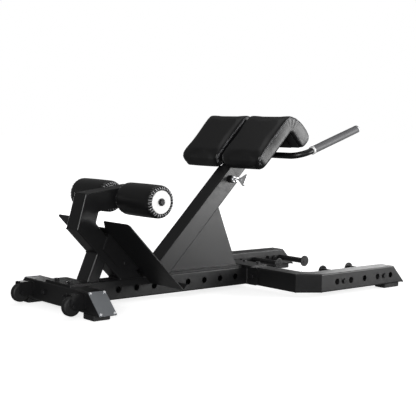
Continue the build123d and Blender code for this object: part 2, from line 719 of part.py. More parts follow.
def make_ankle_arm():
    """Three mitred tubes that carry the rollers over the rail, and the strut behind them."""
    corner = Vector(ARM_CORNER[0], 0, ARM_CORNER[1])
    top = Vector(ARM_TOP[0], 0, ARM_TOP[1])
    foot = Vector(ARM_LOW_SUM - RAIL_TOP, 0, RAIL_TOP)
    low_dir = (corner - foot).normalized()
    mid_dir = (top - corner).normalized()
    up_dir = heading(ARM_RISE)
    end = top + up_dir * ((ARM_END_X - top.X) / up_dir.X)
    first = low_dir + mid_dir
    second = mid_dir + up_dir

    start = inset_line(foot, low_dir, HALF)
    stop = inset_line(corner, low_dir, HALF)
    blank = trimmed_tube(start, stop, TUBE, TUBE, [(foot, Vector(0, 0, -1)), (corner, first)])
    with BuildPart() as lower:
        add(blank.part)
        cross_bores([SADDLE_BOLT[0]], SADDLE_BOLT[1], ARM_BOLT_R + 0.3, -HALF - 1, HALF + 1)
    save(lower.part, "ankle_arm_lower")

    start = inset_line(corner, mid_dir, HALF)
    stop = inset_line(top, mid_dir, HALF)
    middle = trimmed_tube(start, stop, TUBE, TUBE, [(corner, first * -1), (top, second)])
    save(middle.part, "ankle_arm_middle")

    start = inset_line(top, up_dir, HALF)
    stop = inset_line(end, up_dir, HALF)
    blank = trimmed_tube(start, stop, TUBE, TUBE, [(top, second * -1), (end, up_dir)])
    with BuildPart() as upper:
        add(blank.part)
        cross_bores([ROLLER_X], ROLLER_Z, AXLE_R, -HALF - 1, HALF + 1)
    save(upper.part, "ankle_arm_upper")

    make_tube_caps(Plane(origin=stop, x_dir=Y_AXIS, z_dir=up_dir))

    rear = Vector(STRUT_FOOT_X, 0, RAIL_TOP)
    lean = heading(STRUT_ANGLE)
    start = inset_line(rear, lean, STRUT_DEPTH / 2)
    cuts = [(rear, Vector(0, 0, -1)), (corner, Vector(1, 0, 1).normalized())]
    strut = trimmed_tube(start, start + lean * 110, STRUT_DEPTH, TUBE, cuts)
    save(strut.part, "ankle_strut")


AXLE_END = 254.3
DISC = 4.0


def round_part(open_plane, outer, inner, length):
    """Add a tube of the given length to the open part, starting at a plane."""
    with BuildSketch(open_plane) as ring:
        Circle(outer)
        if inner:
            Circle(inner, mode=Mode.SUBTRACT)
    extrude(ring.sketch, amount=length)


def make_rollers():
    """Axle through the upper ankle arm with a free-turning foam roller on each side."""
    axis = Plane(origin=(ROLLER_X, 0, ROLLER_Z), x_dir=(1, 0, 0), z_dir=(0, 1, 0))
    with BuildPart() as roller_axle:
        round_part(axis.offset(-AXLE_END), AXLE_R, 0, 2 * AXLE_END)
    save(roller_axle.part, "roller_axle")
    spacer = ROLLER_INNER_Y - HALF - 0.5
    with BuildPart() as spacers:
        for low in (HALF, -HALF - spacer):
            round_part(axis.offset(low), 19, AXLE_R, spacer)
    save(spacers.part, "axle_spacers")
    with BuildPart() as end_bolts:
        for _, side in NEAR_FAR:
            seat = Plane(origin=(ROLLER_X, side * AXLE_END, ROLLER_Z), z_dir=(0, side, 0))
            round_part(seat, 14, 0, 2)
            with BuildSketch(seat.offset(2)):
                RegularPolygon(10, 6)
            extrude(amount=6.5)
        heads = end_bolts.faces().filter_by(lambda f: abs(f.center().Y) > AXLE_END + 8)
        chamfer(heads.edges(), 1)
    save(end_bolts.part, "axle_end_bolts")

    length = ROLLER_OUTER_Y - ROLLER_INNER_Y
    outer_disc = length - 1
    for name, side in NEAR_FAR:
        inner = Plane(origin=(ROLLER_X, side * ROLLER_INNER_Y, ROLLER_Z), z_dir=(0, side, 0))
        bore = AXLE_R + RUNNING
        with BuildPart() as core:
            round_part(inner, 15.5, bore, outer_disc)
            round_part(inner, DISC_R, bore, DISC)
            round_part(inner.offset(outer_disc - DISC), DISC_R, bore, DISC)
        save(core.part, f"roller_core_{name}")
        with BuildPart() as foam:
            round_part(inner.offset(0), ROLLER_R, 0, length)
            rims = foam.edges().filter_by(GeomType.CIRCLE).group_by(SortBy.RADIUS)[-1]
            fillet(rims, 13)
            with BuildSketch(inner) as through:
                Circle(15.5)
            extrude(through.sketch, amount=length, mode=Mode.SUBTRACT)
            with BuildSketch(inner) as pocket:
                Circle(DISC_R)
            extrude(pocket.sketch, amount=DISC, mode=Mode.SUBTRACT)
            with BuildSketch(inner.offset(outer_disc - DISC)) as outer_pocket:
                Circle(DISC_R)
            extrude(outer_pocket.sketch, amount=DISC + 2, mode=Mode.SUBTRACT)
        save(foam.part, f"roller_foam_{name}")


# ---------------------------------------------------------------- foot plate
PLATE_DOWN = Vector(1, 0, -1).normalized()
PLATE_OUT = Vector(1, 0, 1).normalized()
PLATE_EDGE = Vector(FOOT_PLATE_TOP, 0, FOOT_PLATE_SUM - FOOT_PLATE_TOP)
NOTCH_TOP = (79.0, 46.0, 42.0)  # half widths at the edge and at the bottom, then its depth
NOTCH_LOW_HALF = 40.0
NOTCH_LOW_START = 315.0


def plate_plane(offset=0.0):
    """Sketch plane on the foot plate's underside: X runs down the plate and Y along +Y."""
    return Plane(origin=PLATE_EDGE, x_dir=PLATE_DOWN, z_dir=PLATE_OUT).offset(offset)


def make_foot_plate():
    """Folded sheet the feet stand on, notched around the ankle arm and the rail."""
    end = FOOT_PLATE_LENGTH
    wide, narrow, depth = NOTCH_TOP
    with BuildPart() as foot_plate:
        with BuildSketch(plate_plane()) as sheet:
            with BuildLine():
                Polyline(
                    (0, FOOT_PLATE_HALF),
                    (end, FOOT_PLATE_HALF),
                    (end, NOTCH_LOW_HALF),
                    (NOTCH_LOW_START, NOTCH_LOW_HALF),
                    (NOTCH_LOW_START, -NOTCH_LOW_HALF),
                    (end, -NOTCH_LOW_HALF),
                    (end, -FOOT_PLATE_HALF),
                    (0, -FOOT_PLATE_HALF),
                    (0, -wide),
                    (depth, -narrow),
                    (depth, narrow),
                    (0, wide),
                    close=True,
                )
            make_face()
            outer = sheet.vertices().group_by(Axis.X)[0].filter_by(lambda v: abs(v.Y) > 200)
            fillet(outer, 14)
        extrude(amount=SHEET)
        middle = (FOOT_PLATE_HALF + NOTCH_LOW_HALF) / 2
        with BuildSketch(plate_plane(SHEET)):
            with Locations((end - SHEET / 2, middle), (end - SHEET / 2, -middle)):
                Rectangle(SHEET, FOOT_PLATE_HALF - NOTCH_LOW_HALF)
        extrude(amount=FOOT_PLATE_LIP)
        low_edge = PLATE_EDGE + PLATE_DOWN * end
        folds = foot_plate.edges().filter_by(Axis.Y)
        fillet(folds.filter_by(lambda e: (e.center() - low_edge).dot(PLATE_OUT) < 0.1
                               and (e.center() - low_edge).dot(PLATE_DOWN) > -0.1), 5)
    save(foot_plate.part, "foot_plate")


def make_foot_plate_bracket():
    """Saddle between the lower ankle arm and the foot plate, with its bolts."""
    gap = (FOOT_PLATE_SUM - ARM_LOW_SUM) / sqrt(2) - TUBE
    flange = [
        (-548.5, 212.5),
        (-479.5, 142.0),
        (-404.5, 122.6),
        (-385.5, FOOT_PLATE_SUM + 385.5),
        (-525.5, FOOT_PLATE_SUM + 525.5),
    ]
    start = PLATE_EDGE.X + 0.0
    with BuildPart() as foot_plate_bracket:
        with BuildSketch(plate_plane(-gap)):
            low = (flange[4][0] - start) * sqrt(2)
            high = (flange[3][0] - start) * sqrt(2)
            with Locations(((low + high) / 2, 0)):
                Rectangle(high - low, 2 * (HALF + SADDLE))
        extrude(amount=gap)
        for low in (HALF, -HALF - SADDLE):
            with BuildSketch(profile_plane(low)):
                with BuildLine():
                    Polyline(*flange, close=True)
                make_face()
            extrude(amount=-SADDLE)
        cross_bores([SADDLE_BOLT[0]], SADDLE_BOLT[1], ARM_BOLT_R + 0.3, -60, 60)
    save(foot_plate_bracket.part, "foot_plate_bracket")


# ---------------------------------------------------------------- pads and handlebar
BRACKET_SHEET = 5.0
BRACKET_HALF = 185.0
BRACKET_LOW = 590.0
BOARD_INNER_Y = 26.0
BOARD_OUTER_Y = 225.0
BOARD_LOW = 557.0
BAR_AT = (708.0, 46.0)
COLLAR_START = 71.0
GRIP_START = 81.0
GRIP_END = 356.0
GRIP_R = 16.0


def angle_sketch(low, rear, thick, front_end, y):
    """L-shaped sketch in the post's side plane: a rear leg and a front leg round the post head."""
    back = rear - thick
    top = PAD_FRONT_BACK
    with BuildSketch(post_side_plane(y)) as profile:
        with BuildLine():
            Polyline(
                (low, rear),
                (top, rear),
                (top, front_end),
                (top + thick, front_end),
                (top + thick, back),
                (low, back),
                close=True,
            )
        make_face()
    return profile.sketch


def make_pad_bracket():
    """Metal angle welded to the head of the inner post."""
    inside = -INNER_POST / 2
    with BuildPart() as pad_bracket:
        with BuildSketch(post_side_plane(-BRACKET_HALF)):
            with BuildLine():
                Polyline(
                    (BRACKET_LOW, inside),
                    (INNER_POST_HIGH, inside),
                    (INNER_POST_HIGH, 45),
                    (INNER_POST_HIGH + BRACKET_SHEET, 45),
                    (INNER_POST_HIGH + BRACKET_SHEET, inside - BRACKET_SHEET),
                    (BRACKET_LOW, inside - BRACKET_SHEET),
                    close=True,
                )
            make_face()
        extrude(amount=2 * BRACKET_HALF)
    save(pad_bracket.part, "pad_bracket")


PAD_OUTLINE = [
    (PAD_LOW, PAD_UNDER - 0.5),
    (PAD_LOW, -62),
    (556, PAD_FACE + 4),
    (584, PAD_FACE),
    (784, PAD_FACE - 4),
    (800, -91),
    (817, -64),
    (828, -22),
    (PAD_HIGH, 30),
    (822, 52),
    (803, PAD_FRONT_END),
    (780, PAD_FRONT_END),
    (PAD_FRONT_BACK + 1, 52),
    (PAD_FRONT_BACK + 1, PAD_UNDER - 0.5),
]


def make_pads():
    """Two angled hip pads, each a padded shell over an L-shaped board."""
    width = PAD_OUTER_Y - PAD_INNER_Y
    board_width = BOARD_OUTER_Y - BOARD_INNER_Y
    for name, side in NEAR_FAR:
        low = PAD_INNER_Y if side > 0 else -PAD_OUTER_Y
        board_low = BOARD_INNER_Y if side > 0 else -BOARD_OUTER_Y
        board = angle_sketch(BOARD_LOW, PAD_UNDER, BOARD, 48, board_low)
        with BuildPart() as pad_board:
            extrude(board, amount=board_width)
        save(pad_board.part, f"pad_board_{name}")
        with BuildPart() as hip_pad:
            with BuildSketch(post_side_plane(low)) as outline:
                with BuildLine():
                    Polyline(*PAD_OUTLINE, close=True)
                make_face()
                soft = outline.vertices().filter_by(lambda v: is_soft(v))
                fillet(soft, 5)
            extrude(amount=width)
            rims = [e for e in hip_pad.edges() if soft_rim(e)]
            fillet(rims, 11)
            extrude(board, amount=board_width, mode=Mode.SUBTRACT)
        save(hip_pad.part, f"hip_pad_{name}")


def is_soft(vertex):
    """Whether a corner of the pad outline lies on its padded side."""
    along, across = post_coordinates(vertex.center())
    return not (across > PAD_UNDER - 5 and along < PAD_FRONT_BACK + 10)


def post_coordinates(point):
    """Distances of a point along the post axis and across it."""
    offset = point - on_post(0, 0)
    return offset.dot(POST_DIR), offset.dot(POST_ACROSS)


def soft_rim(edge):
    """Whether an edge of the pad lies on its outer rim, on one of the two side faces."""
    along, across = post_coordinates(edge.center())
    flat = abs(edge.tangent_at(0.5).Y) < 0.01
    backed = abs(across - PAD_UNDER) < 2 or abs(along - PAD_FRONT_BACK - 1) < 2
    return flat and not backed


def make_pad_screws():
    """Screws that hold the boards to the bracket's legs."""
    back = -INNER_POST / 2
    with BuildPart() as pad_screws:
        for _, side in NEAR_FAR:
            for along in (620, 700):
                for y in (80, 150):
                    plane = Plane(origin=on_post(along, back, side * y), z_dir=POST_ACROSS)
                    round_part(plane, 7, 0, 3)
            for y in (80, 150):
                plane = Plane(origin=on_post(INNER_POST_HIGH, 20, side * y), z_dir=POST_DIR * -1)
                round_part(plane, 7, 0, 3)
    save(pad_screws.part, "pad_screws")


def bar_path():
    """Centre line of the handlebar: a cross part with an arm running forward at each end."""
    centre = on_post(*BAR_AT)
    reach = heading(HANDLE_RISE) * GRIP_END
    right = Vector(centre.X, -HANDLE_Y, centre.Z)
    left = Vector(centre.X, HANDLE_Y, centre.Z)
    with BuildLine() as path:
        FilletPolyline(right + reach, right, left, left + reach, radius=HANDLE_BEND)
    return path.line


def make_handlebar():
    """Bent tube handlebar, its saddle block on the post, the grips and their end fittings."""
    path = bar_path()
    with BuildPart() as handlebar:
        with BuildSketch(Plane(origin=path @ 0, z_dir=path % 0)) as section:
            Circle(HANDLE_R)
            Circle(HANDLE_R - 2, mode=Mode.SUBTRACT)
        sweep(section.sketch, path=path)
    save(handlebar.part, "handlebar")

    centre = on_post(*BAR_AT)
    face = INNER_POST / 2
    with BuildPart() as handle_block:
        with BuildSketch(post_side_plane(-30)) as block:
            with Locations((BAR_AT[0], (face + BAR_AT[1] + 16) / 2)):
                RectangleRounded(40, BAR_AT[1] + 16 - face, 3)
        extrude(amount=60)
        cross_bores([centre.X], centre.Z, HANDLE_R, -40, 40)
    save(handle_block.part, "handle_block")

    along_bar = heading(HANDLE_RISE)
    with BuildPart() as collars:
        for _, side in NEAR_FAR:
            corner = Vector(centre.X, side * HANDLE_Y, centre.Z)
            plane = Plane(origin=corner + along_bar * COLLAR_START, x_dir=Y_AXIS, z_dir=along_bar)
            round_part(plane, 17.5, HANDLE_R, GRIP_START - COLLAR_START)
        chamfer(collars.edges().filter_by(GeomType.CIRCLE).group_by(SortBy.RADIUS)[-1], 1)
    save(collars.part, "grip_collars")
    with BuildPart() as ends:
        for _, side in NEAR_FAR:
            corner = Vector(centre.X, side * HANDLE_Y, centre.Z)
            plane = Plane(origin=corner + along_bar * GRIP_END, x_dir=Y_AXIS, z_dir=along_bar)
            round_part(plane, GRIP_R, 0, 5)
            round_part(plane.offset(-12), HANDLE_R - 2, 0, 12)
        caps = ends.edges().filter_by(GeomType.CIRCLE).group_by(SortBy.RADIUS)[-1]
        chamfer(caps, 1.2)
    save(ends.part, "grip_end_caps")
    for name, side in NEAR_FAR:
        corner = Vector(centre.X, side * HANDLE_Y, centre.Z)
        plane = Plane(origin=corner + along_bar * GRIP_START, x_dir=Y_AXIS, z_dir=along_bar)
        with BuildPart() as grip:
            round_part(plane, GRIP_R, HANDLE_R, GRIP_END - GRIP_START)
        save(grip.part, f"hand_grip_{name}")


make_rear_cross_tube()
make_rear_end_plates()
make_feet()
make_main_rail()
make_joint_bracket("rear", REAR_FRONT_X, -1)
make_joint_bracket("base", BASE_REAR_X, 1)
make_u_base()
make_frame_fasteners()
make_band_pegs()
make_wheels()
make_upright()
make_inner_post()
make_pull_pin()
make_ankle_arm()
make_rollers()
make_foot_plate()
make_foot_plate_bracket()
make_pad_bracket()
make_pads()
make_pad_screws()
make_handlebar()
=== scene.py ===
"""Roman chair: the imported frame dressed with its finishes, pads, roller covers, grips and welds."""

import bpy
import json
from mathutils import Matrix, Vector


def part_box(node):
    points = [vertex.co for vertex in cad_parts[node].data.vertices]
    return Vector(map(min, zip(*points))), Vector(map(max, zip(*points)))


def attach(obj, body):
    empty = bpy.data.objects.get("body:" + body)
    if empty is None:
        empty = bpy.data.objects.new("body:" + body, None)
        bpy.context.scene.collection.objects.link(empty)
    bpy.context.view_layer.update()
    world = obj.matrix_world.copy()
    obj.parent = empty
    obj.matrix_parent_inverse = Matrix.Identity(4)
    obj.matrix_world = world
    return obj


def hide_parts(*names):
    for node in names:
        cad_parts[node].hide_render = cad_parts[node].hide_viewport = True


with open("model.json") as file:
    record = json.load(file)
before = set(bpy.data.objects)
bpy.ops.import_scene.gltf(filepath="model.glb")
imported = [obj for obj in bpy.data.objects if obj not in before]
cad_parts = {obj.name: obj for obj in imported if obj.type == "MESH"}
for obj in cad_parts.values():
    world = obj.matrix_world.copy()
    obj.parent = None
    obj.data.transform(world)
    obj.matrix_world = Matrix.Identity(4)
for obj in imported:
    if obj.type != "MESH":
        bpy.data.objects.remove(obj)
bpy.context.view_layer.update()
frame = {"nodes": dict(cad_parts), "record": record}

import json
import logging
import math
import random
from collections.abc import Callable, Iterable, Sequence
from dataclasses import dataclass, field
from enum import Enum

import bmesh
import bpy
import numpy as np
from mathutils import Matrix, Vector
from mathutils.bvhtree import BVHTree

LOG = logging.getLogger("roman_chair")
MM = 0.001
DIAGONAL = math.sqrt(0.5)
TUBE = 75 * MM
HALF_TUBE = TUBE / 2
HALF_INNER_POST = 32.5 * MM
BRACKET_START = 592 * MM  # where the pad bracket's beads start along the post
POST_END = 750 * MM
CORNER_START_Y = 312 * MM  # where the outer face of the base's corner tube starts
CORNER_LENGTH = 89 * MM
BASE_HALF_WIDTH = 371 * MM
SIDES = {"right": -1.0, "left": 1.0}


# ---------------------------------------------------------------- mesh helpers
def place_object(name: str, data: bpy.types.ID) -> bpy.types.Object:
    """Makes an object and links it to the scene.

    Args:
        name: its name.
        data: its mesh, lamp or camera.

    Returns:
        The new object.
    """
    made = bpy.data.objects.new(name, data)
    bpy.context.scene.collection.objects.link(made)
    return made


def add_piece(name: str, verts: Sequence, faces: Sequence, smooth: bool = True) -> bpy.types.Object:
    """Makes an object from points and faces.

    Args:
        name: name of the new object.
        verts: its points, in metres.
        faces: its faces as tuples of point numbers.
        smooth: whether the faces are shaded smooth.

    Returns:
        The new object, linked to the scene.
    """
    mesh = bpy.data.meshes.new(name)
    mesh.from_pydata([tuple(v) for v in verts], [], faces)
    mesh.validate()
    builder = bmesh.new()
    builder.from_mesh(mesh)
    bmesh.ops.recalc_face_normals(builder, faces=builder.faces)
    builder.to_mesh(mesh)
    builder.free()
    mesh.polygons.foreach_set("use_smooth", [smooth] * len(mesh.polygons))
    return place_object(name, mesh)


def square_to(axis: Vector) -> Vector:
    """Returns a unit vector square to a unit axis."""
    guess = Vector((0, 0, 1)) if abs(axis.z) < 0.9 else Vector((1, 0, 0))
    return axis.cross(guess).normalized()


@dataclass
class MeshSoup:
    """Points and faces of several small closed forms that become one object."""

    verts: list[Vector] = field(default_factory=list)
    faces: list[tuple[int, ...]] = field(default_factory=list)

    def sweep(self, points: Sequence[Vector], radius: Callable[[int], float], sides: int = 8,
              closed: bool = False) -> None:
        """Adds a tube along a path.

        Args:
            points: the path.
            radius: the tube's radius at each point number.
            sides: facets round the tube.
            closed: whether the path joins its own start.
        """
        count = len(points)
        base = len(self.verts)
        across = None
        for i, point in enumerate(points):
            ahead = points[(i + 1) % count] if closed or i + 1 < count else point
            behind = points[i - 1] if closed or i > 0 else point
            run = (ahead - behind).normalized()
            if across is None:
                across = square_to(run)
            across = (across - run * across.dot(run)).normalized()
            up = run.cross(across)
            size = radius(i)
            for k in range(sides):
                angle = math.tau * k / sides
                self.verts.append(point + (across * math.cos(angle) + up * math.sin(angle)) * size)
        self.skin(base, count, sides, closed)

    def skin(self, base: int, count: int, sides: int, closed: bool) -> None:
        """Adds the faces between rings of points.

        Args:
            base: number of the first ring's first point.
            count: how many rings there are.
            sides: points in a ring.
            closed: whether the last ring meets the first; if not, both ends are capped.
        """
        for i in range(count if closed else count - 1):
            low, high = base + i * sides, base + ((i + 1) % count) * sides
            for k in range(sides):
                n = (k + 1) % sides
                self.faces.append((low + k, low + n, high + n, high + k))
        if not closed:
            self.faces.append(tuple(range(base, base + sides)))
            end = base + (count - 1) * sides
            self.faces.append(tuple(range(end, end + sides)))

    def lathe(self, profile: Sequence[tuple[float, float]], origin: Vector, axis: Vector,
              sides: int, warp: Callable[[int, float], tuple[float, float]] | None = None) -> None:
        """Adds a closed turned form.

        Args:
            profile: (distance along the axis, radius) pairs, from one end round to the other.
            origin: the zero of the axis.
            axis: its direction.
            sides: facets round it.
            warp: optional (along, radius) offsets for a profile point number and an angle.
        """
        axis = axis.normalized()
        across = square_to(axis)
        up = axis.cross(across)
        base = len(self.verts)
        for i, (along, radius) in enumerate(profile):
            for k in range(sides):
                angle = math.tau * k / sides
                push, swell = warp(i, angle) if warp else (0.0, 0.0)
                ray = across * math.cos(angle) + up * math.sin(angle)
                self.verts.append(origin + axis * (along + push) + ray * (radius + swell))
        self.skin(base, len(profile), sides, True)

    def piece(self, name: str, smooth: bool = True) -> bpy.types.Object:
        """Returns the gathered forms as one object with the given name."""
        return add_piece(name, self.verts, self.faces, smooth)


def resample(points: Sequence[Vector], step: float, closed: bool = False) -> list[Vector]:
    """Even points along a polyline.

    Args:
        points: corners of the line.
        step: distance between the new points.
        closed: whether the line returns to its start.

    Returns:
        The new points.
    """
    path = list(points) + ([points[0]] if closed else [])
    lengths = [(b - a).length for a, b in zip(path, path[1:])]
    total = sum(lengths)
    count = max(2, round(total / step))
    found = []
    for i in range(count if closed else count + 1):
        left = total * i / count
        for (a, b), length in zip(zip(path, path[1:]), lengths):
            if left <= length or length == lengths[-1] and b is path[-1]:
                found.append(a.lerp(b, min(1.0, left / length) if length else 0.0))
                break
            left -= length
    return found


# ---------------------------------------------------------------- finishes
def linear(hex_colour: str) -> tuple[float, float, float, float]:
    """Turns an sRGB hex colour to linear RGBA."""
    parts = [int(hex_colour[i:i + 2], 16) / 255 for i in (1, 3, 5)]
    return (*[c / 12.92 if c <= 0.04045 else ((c + 0.055) / 1.055) ** 2.4 for c in parts], 1.0)


def empty_tree(owner: bpy.types.ID) -> bpy.types.NodeTree:
    """Turns on the nodes of a material or a world and clears them.

    Args:
        owner: the material or world.

    Returns:
        Its empty node tree.
    """
    owner.use_nodes = True
    owner.node_tree.nodes.clear()
    return owner.node_tree


def add_node(tree: bpy.types.NodeTree, kind: str, settings: dict | None = None,
             values: dict | None = None, links: dict | None = None) -> bpy.types.Node:
    """Adds a node with its settings, socket values and incoming links.

    Args:
        tree: the node tree.
        kind: Blender's node type.
        settings: attributes of the node.
        values: input name or number to constant value.
        links: input name or number to the output socket that feeds it.

    Returns:
        The new node.
    """
    node = tree.nodes.new(kind)
    for key, value in (settings or {}).items():
        setattr(node, key, value)
    for key, value in (values or {}).items():
        node.inputs[key].default_value = value
    for key, socket in (links or {}).items():
        tree.links.new(socket, node.inputs[key])
    return node


class Surface(Enum):
    """How a finish was made, which decides its relief."""

    POWDER_COAT = "powder coat"
    GRAINED_VINYL = "grained vinyl"
    BRUSHED = "brushed"
    POLISHED = "polished"
    MOULDED = "moulded"
    RUBBER = "rubber"


@dataclass(frozen=True)
class Finish:
    """One material: its look and the real size of its pattern.

    The colour wanders between colour and light_colour in soft patches, and the roughness by
    roughness_spread either way. relief_mm is the size of a grain and depth_mm its height.
    """

    name: str
    surface: Surface
    colour: str
    light_colour: str
    roughness: float
    roughness_spread: float
    relief_mm: float
    depth_mm: float
    metallic: float = 0.0
    ior: float = 1.5
    coat: float = 0.0
    coat_roughness: float = 0.1
    sheen: float = 0.0

    def build(self) -> bpy.types.Material:
        """Returns the finish as a Blender material."""
        material = bpy.data.materials.new(self.name)
        tree = empty_tree(material)
        place = add_node(tree, "ShaderNodeTexCoord").outputs["Object"]
        patches = add_node(tree, "ShaderNodeTexNoise", values={"Scale": 14.0, "Detail": 4.0},
                           links={"Vector": place})
        tone = add_node(tree, "ShaderNodeMix", {"data_type": "RGBA"},
                        {6: linear(self.colour), 7: linear(self.light_colour)},
                        {0: patches.outputs[0]})
        grain = self.relief(tree, place)
        smear = add_node(tree, "ShaderNodeTexNoise", values={"Scale": 45.0, "Detail": 6.0},
                         links={"Vector": place})
        rough = add_node(tree, "ShaderNodeMapRange", links={"Value": smear.outputs[0]}, values={
            "From Min": 0.3, "From Max": 0.7, "To Min": self.roughness - self.roughness_spread,
            "To Max": self.roughness + self.roughness_spread})
        bump = add_node(tree, "ShaderNodeBump", values={
            "Distance": self.depth_mm * MM, "Strength": 1.0}, links={"Height": grain})
        values = {"Metallic": self.metallic, "Coat Weight": self.coat,
                  "Coat Roughness": self.coat_roughness, "Sheen Weight": self.sheen}
        if self.metallic == 0:
            values["IOR"] = self.ior
        shader = add_node(tree, "ShaderNodeBsdfPrincipled", values=values, links={
            "Base Color": tone.outputs[2], "Roughness": rough.outputs[0],
            "Normal": bump.outputs[0]})
        add_node(tree, "ShaderNodeOutputMaterial", links={"Surface": shader.outputs[0]})
        return material

    def relief(self, tree: bpy.types.NodeTree, place: bpy.types.NodeSocket) -> bpy.types.NodeSocket:
        """Adds the height pattern.

        Args:
            tree: the material's node tree.
            place: object coordinates.

        Returns:
            The socket that carries the height, from 0 to 1.
        """
        scale = 1.0 / (self.relief_mm * MM)
        if self.surface is Surface.GRAINED_VINYL:
            cells = add_node(tree, "ShaderNodeTexVoronoi", {"feature": "SMOOTH_F1"},
                             {"Scale": scale, "Smoothness": 0.6}, {"Vector": place})
            creases = add_node(tree, "ShaderNodeTexNoise",
                               values={"Scale": scale / 9, "Detail": 3.0}, links={"Vector": place})
            return add_node(tree, "ShaderNodeMath", {"operation": "ADD"},
                            links={0: cells.outputs["Distance"], 1: creases.outputs[0]}).outputs[0]
        if self.surface is Surface.BRUSHED:
            stretch = add_node(tree, "ShaderNodeMapping", links={"Vector": place})
            stretch.inputs["Scale"].default_value = (scale / 40, scale, scale)
            return add_node(tree, "ShaderNodeTexNoise", values={"Scale": 1.0, "Detail": 2.0},
                            links={"Vector": stretch.outputs[0]}).outputs[0]
        detail = 1.0 if self.surface is Surface.POLISHED else 3.0
        return add_node(tree, "ShaderNodeTexNoise", values={"Scale": scale, "Detail": detail},
                        links={"Vector": place}).outputs[0]


FINISHES = {
    # Baked polyester powder coat: satin, with a fine orange peel that softens each reflection.
    "frame_black": Finish("satin_black_powder_coat", Surface.POWDER_COAT, "#101011", "#161617",
                          0.36, 0.04, 1.6, 0.05),
    # The same coat, rubbed by bands, so a little glossier.
    "peg_black": Finish("rubbed_black_powder_coat", Surface.POWDER_COAT, "#131314", "#1c1c1d",
                        0.30, 0.06, 1.6, 0.04),
    # Black zinc on forged bolts: dark metal with a dull edge.
    "bolt_black": Finish("black_zinc_steel", Surface.MOULDED, "#141415", "#202022",
                         0.36, 0.06, 0.6, 0.03, metallic=0.2),
    # Chrome plate: mirror bright with faint polishing waves.
    "bright_steel": Finish("chrome_plated_steel", Surface.POLISHED, "#e4e5e7", "#f0f0f2",
                           0.24, 0.04, 6.0, 0.01, metallic=0.65),
    # Anodised plate with a fine brush line along its length.
    "end_plate_aluminium": Finish("brushed_anodised_aluminium", Surface.BRUSHED, "#85888c",
                                  "#94979a", 0.42, 0.05, 0.5, 0.03, metallic=0.9),
    # Moulded rubber foot: matte, slightly chalky.
    "foot_rubber": Finish("moulded_rubber", Surface.RUBBER, "#0f0f10", "#161617",
                          0.72, 0.08, 0.9, 0.08, ior=1.52),
    # Solid rubber tyre: matte, a little smoother than the feet.
    "wheel_rubber": Finish("solid_rubber_tyre", Surface.RUBBER, "#0e0e0f", "#151516",
                           0.62, 0.08, 0.9, 0.08, ior=1.52),
    # Moulded nylon: dark, even and faintly waxy.
    "wheel_plastic": Finish("moulded_nylon_hub", Surface.MOULDED, "#1a1a1b", "#232324",
                            0.42, 0.05, 0.8, 0.04, ior=1.53),
    # Moulded polyethylene: a soft, slightly greasy highlight on the plugs and sleeves.
    "cap_plastic": Finish("moulded_black_polyethylene", Surface.MOULDED, "#151516", "#1d1d1e",
                          0.46, 0.06, 0.8, 0.05, ior=1.51),
    # Moulded grip rubber: a mid grey bloom over black, soft to the eye.
    "grip_rubber": Finish("moulded_grey_grip_rubber", Surface.RUBBER, "#636365", "#707072",
                          0.55, 0.05, 2.4, 0.03, ior=1.52),
    # Turned collar, polished: a clean pale ring with a sharp highlight.
    "collar_plastic": Finish("turned_bright_collar", Surface.MOULDED, "#e2e2e2", "#eeeeee",
                             0.28, 0.04, 0.8, 0.02, ior=1.49, coat=0.4),
    # Moulded ABS: bright white with a glossy skin.
    "disc_plastic": Finish("moulded_white_abs", Surface.MOULDED, "#f1f1f0", "#f6f6f5",
                           0.30, 0.04, 0.9, 0.02, ior=1.53, coat=0.3),
    # Cold drawn bar: bare grey steel with fine lines along it.
    "axle_steel": Finish("drawn_steel_bar", Surface.BRUSHED, "#8f9194", "#a2a4a7",
                         0.30, 0.05, 0.5, 0.03, metallic=1.0),
    # Coated vinyl over foam: soft sheen, pebble grain drawn 2 mm wide so that it shows.
    "roller_cover": Finish("stretched_black_vinyl", Surface.GRAINED_VINYL, "#0a0a0b", "#0f0f10",
                           0.32, 0.04, 2.0, 0.03, ior=1.48, coat=0.3, coat_roughness=0.2),
    # Upholstery vinyl pulled over dense foam: the same pebble grain, duller than the rollers.
    "pad_cover": Finish("upholstery_black_vinyl", Surface.GRAINED_VINYL, "#0e0e0f", "#131314",
                        0.38, 0.05, 2.0, 0.05, ior=1.48, coat=0.10, coat_roughness=0.35),
    # Moulded backing board: flat black that hardly shines.
    "board_plastic": Finish("moulded_pad_board", Surface.MOULDED, "#161617", "#1f1f20",
                            0.55, 0.06, 0.9, 0.06),
}
# Bonded nylon stitching yarn: matte, each stitch a separate raised loop. Its pale grey is partly
# painted highlight, standing in for the light glints along the seams and on the roller pleats.
STITCHING_AND_GLINT = Finish("nylon_stitching_and_painted_glint", Surface.MOULDED, "#c4c4c7", "#d2d2d5", 0.50, 0.05, 0.4, 0.02)


class Palette:
    """Builds each finish once and dresses the CAD nodes with them."""

    def __init__(self) -> None:
        """Builds every finish."""
        self.by_slot = {slot: finish.build() for slot, finish in FINISHES.items()}
        self.stitching_and_glint = STITCHING_AND_GLINT.build()

    def dress_nodes(self) -> None:
        """Gives every CAD node the finish of its record slot."""
        slots = {part["node"]: part["material_slot"] for part in frame["record"]["subparts"]}
        for name, node in frame["nodes"].items():
            node.data.materials.clear()
            node.data.materials.append(self.by_slot[slots[name]])
            for polygon in node.data.polygons:
                polygon.material_index = 0
        LOG.info("dressed %d CAD nodes", len(slots))

    def dress(self, piece: bpy.types.Object, body: str, slot: str,
              material: bpy.types.Material | None = None) -> None:
        """Dresses a piece with its slot's finish and lets it ride on a body.

        Args:
            piece: the piece.
            body: the body that it moves with.
            slot: the record's material slot.
            material: its finish, or the slot's own.
        """
        piece.data.materials.clear()
        piece.data.materials.append(material or self.by_slot[slot])
        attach(piece, body)


